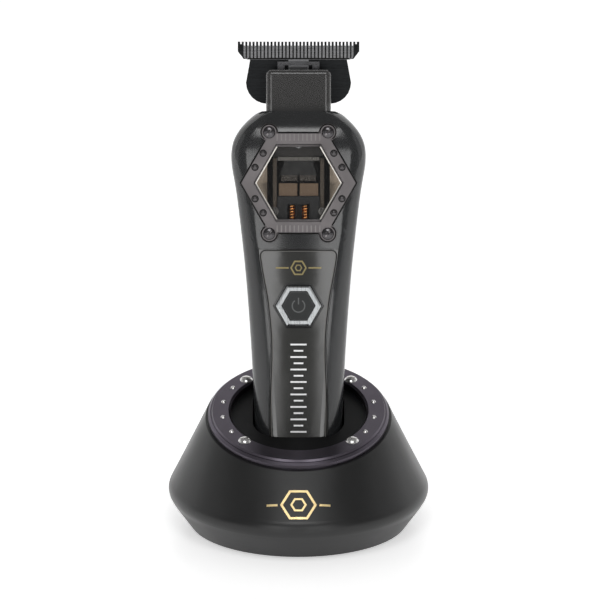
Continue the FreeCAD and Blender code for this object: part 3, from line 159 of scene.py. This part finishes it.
def plated(name, color, roughness, **sockets):
    """Plated or turned metal with a slightly uneven sheen."""
    made = Finish(name, color, roughness, Metallic=1.0, **sockets).mottled(0.06, scale=300.0)
    return made.smudged(0.05, scale=250.0).grained(0.06, scale=1500.0)


SMOKE = (0.020, 0.021, 0.022)
FINISHES = {
    "stand_housing": moulded("stand_satin", (0.0105, 0.0107, 0.0108), 0.34, 0.05, 1500.0),
    "stand_base": moulded("stand_base_satin", (0.006, 0.006, 0.0065), 0.42, 0.06, 1500.0),
    "anti_slip_pad": moulded("pad_rubber", (0.02, 0.02, 0.021), 0.8, 0.35, 1200.0),
    "ballast_ring": moulded("cast_weight", (0.18, 0.18, 0.19), 0.6, 0.4, 900.0, Metallic=1.0),
    "trim_ring": Finish("ring_anodised", (0.125, 0.112, 0.135), 0.3, Metallic=1.0)
    .mottled(0.05, 40.0).smudged(0.04, 60.0),
    "ring_screws": plated("ring_screw_nickel", (0.78, 0.77, 0.76), 0.16),
    "cradle_cup": moulded("cup_satin", (0.004, 0.004, 0.0045), 0.5, 0.05, Specular_IOR_Level=0.2),
    "circuit_board": moulded("board_mask", (0.008, 0.02, 0.012), 0.35, 0.1, 1500.0),
    "contact_pins": plated("contact_gold", (0.95, 0.72, 0.36), 0.18),
    "inlet_socket": moulded("socket_black", (0.015, 0.015, 0.016), 0.45, 0.15),
    "front_shell": polished("smoke_shell", SMOKE, 0.16, Alpha=0.88, IOR=1.7),
    "neck_cover": polished("smoke_neck", (0.05, 0.049, 0.048), 0.14, Alpha=0.84, IOR=1.6),
    "control_panel": polished("panel_gloss", (0.020, 0.020, 0.018), 0.13, IOR=1.75),
    "bottom_cap": polished("cap_gloss", (0.02, 0.02, 0.022), 0.15),
    "window_bezel": Finish("bezel_gunmetal", (0.17, 0.158, 0.160), 0.33, Metallic=1.0)
    .mottled(0.08, 120.0).smudged(0.05, 160.0),
    "bezel_screws": plated("bezel_screw_black", (0.10, 0.096, 0.10), 0.22),
    "bezel_studs": plated("bezel_stud_black", (0.10, 0.095, 0.097), 0.3),
    "window_lens": polished("lens_clear", (0.02, 0.02, 0.02), 0.03, Alpha=0.14, IOR=2.0),
    "power_button_cap": polished("button_smoke", (0.032, 0.034, 0.034), 0.16, IOR=1.5),
    "power_button_ring": brushed("button_silver", (0.55, 0.57, 0.58), 0.3, (30, 1, 1)),
    "motor_frame": Finish("motor_chassis", (0.024, 0.020, 0.018), 0.45).mottled(0.1).smudged(0.05),
    "motor_core": brushed("core_bronze", (0.11, 0.092, 0.075), 0.38, (1, 60, 1)),
    "core_screws": plated("core_screw_nickel", (0.22, 0.21, 0.20), 0.25),
    "coil_bobbin": Finish("bobbin_black", (0.006, 0.006, 0.006), 0.4).mottled(0.1).smudged(0.04),
    "pole_shoes": brushed("pole_bronze", (0.21, 0.15, 0.105), 0.42, (60, 1, 1)),
    "armature_yoke": Finish("yoke_black", (0.016, 0.015, 0.014), 0.4).mottled(0.1).smudged(0.05),
    "armature_plate": brushed("yoke_plate", (0.20, 0.19, 0.175), 0.3, (60, 1, 1)),
    "armature_magnets": plated("magnet_nickel", (0.10, 0.09, 0.08), 0.3),
    "pivot_pin": plated("pin_steel", (0.5, 0.5, 0.5), 0.2),
    "pivot_bush": plated("bush_bronze", (0.42, 0.27, 0.14), 0.28),
    "battery_cell": polished("cell_sleeve", (0.012, 0.013, 0.016), 0.3),
    "motor_leads": moulded("lead_red", (0.08, 0.012, 0.010), 0.45, 0.1),
    "fixed_blade": brushed("blade_black", (0.020, 0.021, 0.022), 0.3, (1, 1, 30)),
    "blade_screws": plated("blade_screw_dark", (0.12, 0.12, 0.125), 0.25),
    "cutter_blade": brushed("cutter_steel", (0.20, 0.20, 0.205), 0.3, (1, 1, 30)),
    "cutter_guide": moulded("guide_black", (0.015, 0.015, 0.016), 0.4, 0.08),
    "gold": plated("mark_gold", (0.80, 0.62, 0.32), 0.3),
    "dim_gold": plated("panel_mark_gold", (0.24, 0.20, 0.10), 0.35),
    "dim": moulded("sign_grey", (0.10, 0.105, 0.105), 0.4, 0.05),
    "white": moulded("mark_white", (0.86, 0.86, 0.87), 0.4, 0.05),
    "copper": plated("coil_copper", (0.95, 0.42, 0.13), 0.25),
    # Near black: painted shade down the grooves and gaps of the bezel, the panel's edge and the cutter, and
    # the colour of the blade's end guards.
    "black": moulded("groove_shade_and_guard_black", (0.004, 0.004, 0.004), 0.6, 0.05, Specular_IOR_Level=0.2),
    # Steel for the knurl bars, and laid across the screw slots as a painted glint.
    "knurl": plated("knurl_and_glint_steel", (0.23, 0.215, 0.215), 0.35),
    # A silver strip that is a painted glint on the lens's bevelled edge.
    "trim": plated("lens_edge_glint_silver", (0.85, 0.82, 0.76), 0.35),
    "cowl": plated("cowl_bronze", (0.36, 0.30, 0.235), 0.45),
    # A lighter grey, laid along the panel's edge as a painted highlight.
    "edge": moulded("panel_edge_highlight_grey", (0.12, 0.115, 0.105), 0.35, 0.05),
}
SAME = {
    "base_screws": "blade_screws", "ring_studs": "ring_screws", "charging_board": "circuit_board",
    "contact_barrels": "contact_pins", "charge_contacts": "contact_pins", "rear_shell": "front_shell",
    "shell_screws": "blade_screws", "drive_coils": "copper", "battery_holder": "motor_frame",
    "button_switch": "inlet_socket", "blade_mount": "cutter_guide", "tension_bar": "blade_screws",
    "tension_screws": "blade_screws", "drive_arm": "pivot_bush",
}


def finish_nodes():
    """Give every carried-over node its material and smooth its round faces."""
    for name, node in NODES.items():
        mesh = node.data
        mesh.materials.clear()
        mesh.materials.append(FINISHES[SAME.get(name, name)].material)
        mesh.shade_smooth()
        mesh.set_sharp_from_angle(angle=CREASE)


# ---- laying marks on the CAD's surfaces, in millimetres of the trimmer's own frame ----------------------

RAY_START = 50         # rays start this far in front of a surface's origin, clear of the piece
WIDEST = 15.0          # where half_width starts, outside the panel
WIDTH_STEP = 0.04
LIFT = 0.05            # how far a band stands off its surface
SUNK = -0.10           # and how far it reaches in
LONGEST_STEP = 1.5     # the longest stretch of a band with no point on the surface
LEAST_MITRE = 0.3      # keeps a band from growing too wide at a sharp corner


def piece(name, vertices, faces, body, finish, smooth=False):
    """A mesh of the object in the row frame, riding on a body."""
    mesh = bpy.data.meshes.new(name)
    mesh.from_pydata([tuple(vertex) for vertex in vertices], [], faces)
    mesh.validate()
    mesh.materials.append(FINISHES[finish].material)
    if smooth:
        mesh.shade_smooth()
    made = bpy.data.objects.new(name, mesh)
    bpy.context.scene.collection.objects.link(made)
    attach(made, body)
    return made


class Surface:
    """A CAD node's surface, on which thin printed or inlaid marks are laid."""

    def __init__(self, node, origin=FOOT, up=UP, inward=INWARD):
        mesh = NODES[node].data
        places = [vertex.co for vertex in mesh.vertices]
        self.tree = BVHTree.FromPolygons(places, [face.vertices[:] for face in mesh.polygons])
        self.origin = origin
        self.up = up
        self.inward = inward

    def behind(self, x, y):
        """The first point of the surface behind (x, y) millimetres, or None."""
        start = self.origin + RIGHT * (x * MM) + self.up * (y * MM) - self.inward * (RAY_START * MM)
        return self.tree.ray_cast(start, self.inward)[0]

    def lay(self, x, y, lift):
        """The point of the surface behind (x, y) millimetres, lifted off it."""
        return self.behind(x, y) - self.inward * (lift * MM)

    def half_width(self, y):
        """How far from its middle the surface reaches at a height, in millimetres."""
        x = WIDEST
        while self.behind(x, y) is None:
            x -= WIDTH_STEP
        return x


def divided(path, closed, steps):
    """A path in short spans, so that a band along it follows a curved surface."""
    points = [Vector(point) for point in path]
    ends = points[1:] + points[:1] if closed else points[1:]
    fine = []
    for a, b in zip(points, ends):
        parts = max(steps, math.ceil((b - a).length / LONGEST_STEP))
        fine += [a.lerp(b, k / parts) for k in range(parts)]
    return fine if closed else fine + [points[-1]]


def stroke(surface, path, width, closed=False, steps=4):
    """A flat band of a width along a path, laid on a surface as a thin closed strip."""
    fine = divided(path, closed, steps)
    count = len(fine)
    vertices = []
    for i, p in enumerate(fine):
        before = fine[i - 1] if closed or i else p
        after = fine[(i + 1) % count] if closed or i < count - 1 else p
        arrive = (p - before).normalized() if p != before else (after - p).normalized()
        leave = (after - p).normalized() if p != after else arrive
        side = Vector((-(arrive + leave).y, (arrive + leave).x)).normalized()
        reach = width / 2 / max(LEAST_MITRE, side.dot(Vector((-arrive.y, arrive.x))))
        left, right = p + side * reach, p - side * reach
        vertices += [surface.lay(left.x, left.y, LIFT), surface.lay(right.x, right.y, LIFT),
                     surface.lay(right.x, right.y, SUNK), surface.lay(left.x, left.y, SUNK)]
    faces = []
    for i in range(count if closed else count - 1):
        a, b = 4 * i, 4 * ((i + 1) % count)
        faces += [(a + k, a + (k + 1) % 4, b + (k + 1) % 4, b + k) for k in range(4)]
    if not closed:
        last = 4 * (count - 1)
        faces += [(3, 2, 1, 0), (last, last + 1, last + 2, last + 3)]
    return vertices, faces


def gathered(parts):
    """Several vertex and face lists as one."""
    vertices, faces = [], []
    for some, few in parts:
        shift = len(vertices)
        vertices += some
        faces += [tuple(shift + i for i in face) for face in few]
    return vertices, faces


def ring_path(radius, centre=(0, 0), count=6, start=0.0, sweep=360.0):
    """Points of a regular outline, or of part of a circle, about a centre."""
    closed = sweep >= 360.0
    turns = [math.radians(start + sweep * i / (count if closed else count - 1)) for i in range(count)]
    return [(centre[0] + radius * math.cos(a), centre[1] + radius * math.sin(a)) for a in turns]


def racetrack(half_x, half_y, corner, count):
    """Points round a rectangle with round corners."""
    points = []
    for quarter, (sx, sy) in enumerate(((1, 1), (-1, 1), (-1, -1), (1, -1))):
        for i in range(count):
            a = math.radians(90 * quarter + 90 * i / (count - 1))
            points.append((sx * (half_x - corner) + corner * math.cos(a),
                           sy * (half_y - corner) + corner * math.sin(a)))
    return points


def winged_hexagon(surface, centre, radius, width, reach):
    """Two plain hexagon outlines, one inside the other, between two short bars."""
    x, y = centre
    inner_radius, inner_width = radius * 0.42, width * 0.8
    bar_start = radius + width * 1.6
    return gathered([
        stroke(surface, ring_path(radius, centre), width, closed=True),
        stroke(surface, ring_path(inner_radius, centre), inner_width, closed=True),
        stroke(surface, [(x + bar_start, y), (x + reach, y)], width),
        stroke(surface, [(x - bar_start, y), (x - reach, y)], width),
    ])


# ---- the window -----------------------------------------------------------------------------------------

WINDOW = 104.9         # the height of the window's middle
BEZEL = 19.7           # from there to the bezel's six corners
LOBE = 3.0             # the radius of a screw lobe
LOBE_CIRCLE = 19.5
LOBE_TURNS = (60, 120, 240, 300)
OPENING_SIDE = 14.0    # from the middle to the opening's side corners
OPENING_HALF = 12.1    # and just short of its top and bottom edges


def corner_of(turn, radius):
    """A point about the window's middle."""
    return (radius * math.cos(math.radians(turn)), WINDOW + radius * math.sin(math.radians(turn)))


def short_of(start, end, gap):
    """The point a gap away from the start on the way to the end."""
    way = Vector(end) - Vector(start)
    return tuple(Vector(start) + way.normalized() * gap)


def bezel_groove_shade(bezel):
    """Painted shade: dark lines in the bezel's outer bevel, round its screw lobes and round its studs, where
    the gaps lie in shade.
    """
    edge_radius, edge_width = BEZEL - 0.32, 0.5
    lobe_radius, lobe_sweep, lobe_width = LOBE - 0.3, 230, 0.42
    stud_circle, stud_offset, stud_radius, stud_width = 15.15, 2.7, 1.08, 0.3
    lines = []
    for turns in ((120, 60), (300, 240), (60, 0, 300), (240, 180, 120)):
        path = [corner_of(turn, edge_radius) for turn in turns]
        ends = (short_of(path[0], path[1], LOBE), short_of(path[-1], path[-2], LOBE))
        lines.append(stroke(bezel, [ends[0]] + path[1:-1] + [ends[1]], edge_width, steps=8))
    for turn in LOBE_TURNS:
        centre = corner_of(turn, LOBE_CIRCLE)
        start = turn - lobe_sweep / 2
        outline = ring_path(lobe_radius, centre, count=19, start=start, sweep=lobe_sweep)
        lines.append(stroke(bezel, outline, lobe_width, steps=1))
    for turn in (30, 150, 210, 330):
        x, z = corner_of(turn, stud_circle)
        along = math.radians(turn + 90)
        for slide in (-stud_offset, stud_offset):
            centre = (x + slide * math.cos(along), z + slide * math.sin(along))
            outline = ring_path(stud_radius, centre, count=16)
            lines.append(stroke(bezel, outline, stud_width, closed=True, steps=1))
    piece("bezel_groove_shade", *gathered(lines), "trimmer", "black")


def bezel_knurls(bezel):
    """Light upright bars on the bezel, above and below the window."""
    count, reach, offset, half, width = 11, 7.1, 15.2, 1.1, 0.42
    bars = []
    for side in (-1, 1):
        middle = WINDOW + side * offset
        for i in range(count):
            x = reach * (2 * i / (count - 1) - 1)
            bars.append(stroke(bezel, [(x, middle - half), (x, middle + half)], width))
    piece("bezel_knurls", *gathered(bars), "trimmer", "knurl")


def bezel_screw_slot_glints():
    """A painted glint: a light slanting stroke across each of the bezel's screw heads, where their slots
    catch the light.
    """
    heads = Surface("bezel_screws")
    half_x, half_z, width = 0.75, 1.0, 0.4
    slot_glints = []
    for turn in LOBE_TURNS:
        x, z = corner_of(turn, LOBE_CIRCLE)
        slot_glints.append(stroke(heads, [(x - half_x, z - half_z), (x + half_x, z + half_z)], width))
    piece("bezel_screw_slot_glints", *gathered(slot_glints), "trimmer", "knurl")


def opening_reach(z):
    """How far out the opening's slanted side is, at a height from the window's middle."""
    return OPENING_SIDE - abs(z) / math.sqrt(3)


def side_sheets(edges, depth):
    """A sheet down each side of the opening: edges(z) gives its outer and inner reach, and
    depth(share, wide) how far in it lies, at a share of its width from the outer edge."""
    rows, across = 49, 7
    sheets = []
    for side in (-1, 1):
        vertices = []
        for i in range(rows):
            z = OPENING_HALF * (2 * i / (rows - 1) - 1)
            outer, inner = edges(z)
            wide = outer - inner
            for k in range(across):
                share = k / (across - 1)
                vertices.append(spot(side * (outer - wide * share), depth(share, wide), WINDOW + z))
        faces = [(a, a + 1, a + 1 + across, a + across)
                 for i in range(rows - 1) for a in range(i * across, (i + 1) * across - 1)]
        sheets.append((vertices, faces))
    return gathered(sheets)


def window_glint_and_cowl():
    """A silver strip down the four slanted edges of the opening, a painted glint for the lens's bevelled
    edge, and the bronze cowl beside the motor.
    """
    glint_width, glint_face, glint_depth = 0.42, -16.0, 0.1
    cowl_inner, cowl_least, cowl_face = 10.45, 0.02, -15.88
    cowl_slope, cowl_curve = 0.12, 0.2
    glint_strips = side_sheets(
        lambda z: (opening_reach(z) + glint_width, opening_reach(z)),
        lambda share, wide: glint_face + glint_depth * share)
    cowls = side_sheets(
        lambda z: (opening_reach(z), min(opening_reach(z) - cowl_least, cowl_inner)),
        lambda share, wide: cowl_face + wide * (cowl_slope * share + cowl_curve * share * share))
    piece("lens_edge_glint", *glint_strips, "trimmer", "trim", smooth=True)
    piece("motor_cowl", *cowls, "trimmer", "cowl", smooth=True)


# ---- the panel, the button and the stand ----------------------------------------------------------------

def panel_line(panel, name, inset, width, finish):
    """A line just inside the panel's edge: up one side, over the top and down the other."""
    foot, shoulder, spans = 16.0, 80.0, 32
    top, rounding = 82.8 - inset, 2.0
    half = []
    for i in range(spans + 1):
        height = foot + (shoulder - foot) * i / spans
        half.append((panel.half_width(height) - inset, height))
    for turn in range(10, 91, 16):
        height = top - rounding * (1 - math.sin(math.radians(turn)))
        reach = panel.half_width(height) - inset - rounding * (1 - math.cos(math.radians(turn)))
        half.append((reach, height))
    path = half + [(-x, height) for x, height in reversed(half)]
    piece(name, *stroke(panel, path, width, steps=2), "trimmer", finish)


def panel_graduations(panel):
    """White lines up the panel, long and short in turn."""
    count, lowest, pitch, width = 15, 21.5, 2.1, 0.55
    long_half, short_half = 2.7, 1.6
    ticks = []
    for i in range(count):
        half = long_half if i % 2 == 0 else short_half
        height = lowest + pitch * i
        ticks.append(stroke(panel, [(-half, height), (half, height)], width))
    piece("panel_graduations", *gathered(ticks), "trimmer", "white")


def power_sign():
    """A plain power sign: most of a ring, open at the top, and a bar in the gap."""
    cap = Surface("power_button_cap")
    middle, radius, width = 63.9, 2.1, 0.4
    gap_end, sweep = 125.0, 290.0
    ring = stroke(cap, ring_path(radius, (0, middle), count=25, start=gap_end, sweep=sweep), width)
    bar = stroke(cap, [(0, middle + 0.5), (0, middle + 2.7)], width)
    piece("power_sign", *gathered([ring, bar]), "power_button", "dim")


def stand_mark():
    """The gold mark on the stand's sloping front wall."""
    slope = math.radians(40)
    up = Vector((0, math.sin(slope), math.cos(slope)))
    inward = Vector((0, math.cos(slope), -math.sin(slope)))
    front, height = -38, 19.5
    wall = Surface("stand_housing", Vector((0, front * MM, height * MM)), up, inward)
    mark = winged_hexagon(wall, centre=(0, 0), radius=5.6, width=0.8, reach=10.5)
    piece("stand_mark", *mark, "stand", "gold")


# ---- the blades -----------------------------------------------------------------------------------------

def cutter_foot():
    """The height of the cutter's lower edge, away from its middle."""
    beside = 10
    return min((vertex.co - FOOT).dot(UP) for vertex in NODES["cutter_blade"].data.vertices
               if abs(vertex.co.x) > beside * MM) / MM


def cutter_groove_shade(low):
    """Painted shade: dark lines down the grooves of the cutter's face, and one along its lower edge."""
    cutter = Surface("cutter_blade")
    count, pitch, width = 30, 1.22, 0.48
    bottom, top = low + 0.5, low + 2.78
    edge, edge_half, edge_width = low + 0.32, 17.2, 0.5
    lines = []
    for i in range(count):
        x = pitch * (i - (count - 1) / 2)
        lines.append(stroke(cutter, [(x, bottom), (x, top)], width))
    lines.append(stroke(cutter, [(-edge_half, edge), (edge_half, edge)], edge_width))
    piece("cutter_groove_shade", *gathered(lines), "cutter", "black")


def blade_end_guards(low):
    """A block with round corners at each end of the fixed blade."""
    blade = Surface("fixed_blade")
    reach, height = 19.55, low + 3.9
    probe_reach, probe_height = 19.0, low + 2.6
    front, back = 0.05, 1.3
    ends = []
    for side in (-1, 1):
        face = (blade.lay(side * probe_reach, probe_height, 0) - FOOT).dot(INWARD) / MM
        rounded = racetrack(half_x=1.0, half_y=1.4, corner=0.7, count=6)
        outline = [(side * reach + x, height + z) for x, z in rounded]
        vertices = [spot(x, face + depth, z) for depth in (front, back) for x, z in outline]
        count = len(outline)
        faces = [(i, (i + 1) % count, count + (i + 1) % count, count + i) for i in range(count)]
        faces += [tuple(reversed(range(count))), tuple(range(count, 2 * count))]
        ends.append((vertices, faces))
    piece("blade_end_guards", *gathered(ends), "trimmer", "black")


def marks():
    """Plain marks in place of print, small faces that the CAD leaves out, painted shade as dark lines in
    grooves and gaps, and painted highlights and glints as light lines on edges and screw slots.
    """
    panel = Surface("control_panel")
    bezel = Surface("window_bezel")
    bezel_groove_shade(bezel)
    bezel_knurls(bezel)
    bezel_screw_slot_glints()
    # Painted shade in the gap at the panel's edge.
    panel_line(panel, "panel_groove", inset=0.32, width=0.36, finish="black")
    # A painted highlight along the panel's edge.
    panel_line(panel, "panel_edge_highlight", inset=0.66, width=0.18, finish="edge")
    low = cutter_foot()
    cutter_groove_shade(low)
    blade_end_guards(low)
    mark = winged_hexagon(panel, centre=(0, 76.6), radius=2.5, width=0.5, reach=7.6)
    piece("panel_mark", *mark, "trimmer", "dim_gold")
    panel_graduations(panel)
    power_sign()
    stand_mark()


# ---- the coils ------------------------------------------------------------------------------------------

COIL_X, COIL_Y = 2.25, -6.9
COIL_LOW, COIL_HIGH = 89.3, 97.8
COIL_HALF_X, COIL_HALF_Y = 1.19, 2.95
WIRE = 0.42            # the wire's radius
TURN_SPACING = 1.02    # from one turn to the next, as a share of the wire's thickness


def wound_coil(x):
    """One layer of round wire, wound as a helix about the trimmer's length."""
    half_x, half_y = COIL_HALF_X - WIRE, COIL_HALF_Y - WIRE
    loop = racetrack(half_x, half_y, corner=half_x * 0.7, count=7)
    height = COIL_HIGH - COIL_LOW - 2 * WIRE
    turns = int(height / (2 * WIRE * TURN_SPACING))
    pitch = height / turns
    around = 8         # points round the wire
    path = [(px, py, COIL_LOW + WIRE + pitch * (turn + i / len(loop)))
            for turn in range(turns) for i, (px, py) in enumerate(loop)]
    vertices, faces = [], []
    for i, (px, py, pz) in enumerate(path):
        ahead = loop[(i + 1) % len(loop)]
        behind = loop[(i - 1) % len(loop)]
        along = Vector((ahead[0] - behind[0], ahead[1] - behind[1])).normalized()
        out = Vector((along.y, -along.x))
        for k in range(around):
            a = 2 * math.pi * k / around
            reach, rise = WIRE * math.cos(a), WIRE * math.sin(a)
            vertices.append(spot(x + px + out.x * reach, COIL_Y + py + out.y * reach, pz + rise))
    for i in range(len(path) - 1):
        for k in range(around):
            a, b = i * around + k, i * around + (k + 1) % around
            faces.append((a, b, b + around, a + around))
    last = (len(path) - 1) * around
    faces.append(tuple(reversed(range(around))))
    faces.append(tuple(last + k for k in range(around)))
    return vertices, faces


def coils():
    """Copper windings that show their wire, in place of the two plain blocks."""
    parts = [wound_coil(side * COIL_X) for side in (-1, 1)]
    made = piece("coil_windings", *gathered(parts), "trimmer", "copper", smooth=True)
    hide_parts("drive_coils")


# ---- studio, in metres ----------------------------------------------------------------------------------

def sweep():
    """A pale floor that curves up into a backdrop."""
    front, bend, radius, top, half = -8.0, 1.6, 0.9, 3.5, 8.0
    profile = [(front, 0.0), (bend, 0.0)]
    for turn in range(6, 91, 6):
        a = math.radians(turn)
        profile.append((bend + radius * math.sin(a), radius * (1 - math.cos(a))))
    profile.append((bend + radius, top))
    vertices = [(side * half, y, z) for y, z in profile for side in (-1, 1)]
    faces = [(2 * i, 2 * i + 1, 2 * i + 3, 2 * i + 2) for i in range(len(profile) - 1)]
    mesh = bpy.data.meshes.new("studio_sweep")
    mesh.from_pydata(vertices, [], faces)
    mesh.shade_smooth()
    made = bpy.data.objects.new("studio_sweep", mesh)
    bpy.context.scene.collection.objects.link(made)
    pale = Finish("studio_white", (0.95, 0.95, 0.95), 0.35, Specular_IOR_Level=0.3)
    pale.shader.inputs["Emission Color"].default_value = (1, 1, 1, 1)
    pale.shader.inputs["Emission Strength"].default_value = 0.50
    pale.grained(0.02, scale=300.0)
    mesh.materials.append(pale.material)


def softbox(name, place, target, width, height, radiance):
    """A rectangular white lamp of an even brightness, facing a point."""
    data = bpy.data.lights.new(name, "AREA")
    data.shape = "RECTANGLE"
    data.size = width
    data.size_y = height
    data.energy = radiance * math.pi * width * height
    made = bpy.data.objects.new(name, data)
    made.location = place
    made.rotation_euler = (Vector(target) - Vector(place)).to_track_quat("-Z", "Y").to_euler()
    bpy.context.scene.collection.objects.link(made)


def lights():
    """Two boxes in front with a dark gap between them, larger dim ones at the sides, and one above."""
    middle = (0, 0, 0.1)
    for side, name in ((-1, "left"), (1, "right")):
        softbox(f"{name}_front_box", (side * 0.37, -1.2, 0.37), middle, width=0.44, height=0.62, radiance=2.3)
        softbox(f"{name}_side_box", (side * 1.25, 0.15, 0.5), middle, width=1.0, height=1.3, radiance=0.35)
    softbox("top_box", (0, -0.85, 1.4), (0, 0, 0), width=0.75, height=0.55, radiance=4.2)
    world = bpy.data.worlds.new("studio_world")
    world.use_nodes = True
    background = world.node_tree.nodes["Background"]
    background.inputs["Color"].default_value = (1, 1, 1, 1)
    background.inputs["Strength"].default_value = 0.22
    bpy.context.scene.world = world
    bpy.context.scene.view_settings.view_transform = "Standard"


def camera():
    """The photograph's view, from the front and looking down a little."""
    look_down = 16.1
    data = bpy.data.cameras.new("camera")
    data.sensor_width = 36
    data.lens = 193
    data.clip_start = 0.01
    made = bpy.data.objects.new("camera", data)
    made.location = (0.0005, -1.034, 0.3769)
    made.rotation_euler = (math.radians(90 - look_down), 0, 0)
    bpy.context.scene.collection.objects.link(made)
    bpy.context.scene.camera = made


finish_nodes()
marks()
window_glint_and_cowl()
coils()
sweep()
lights()
camera()
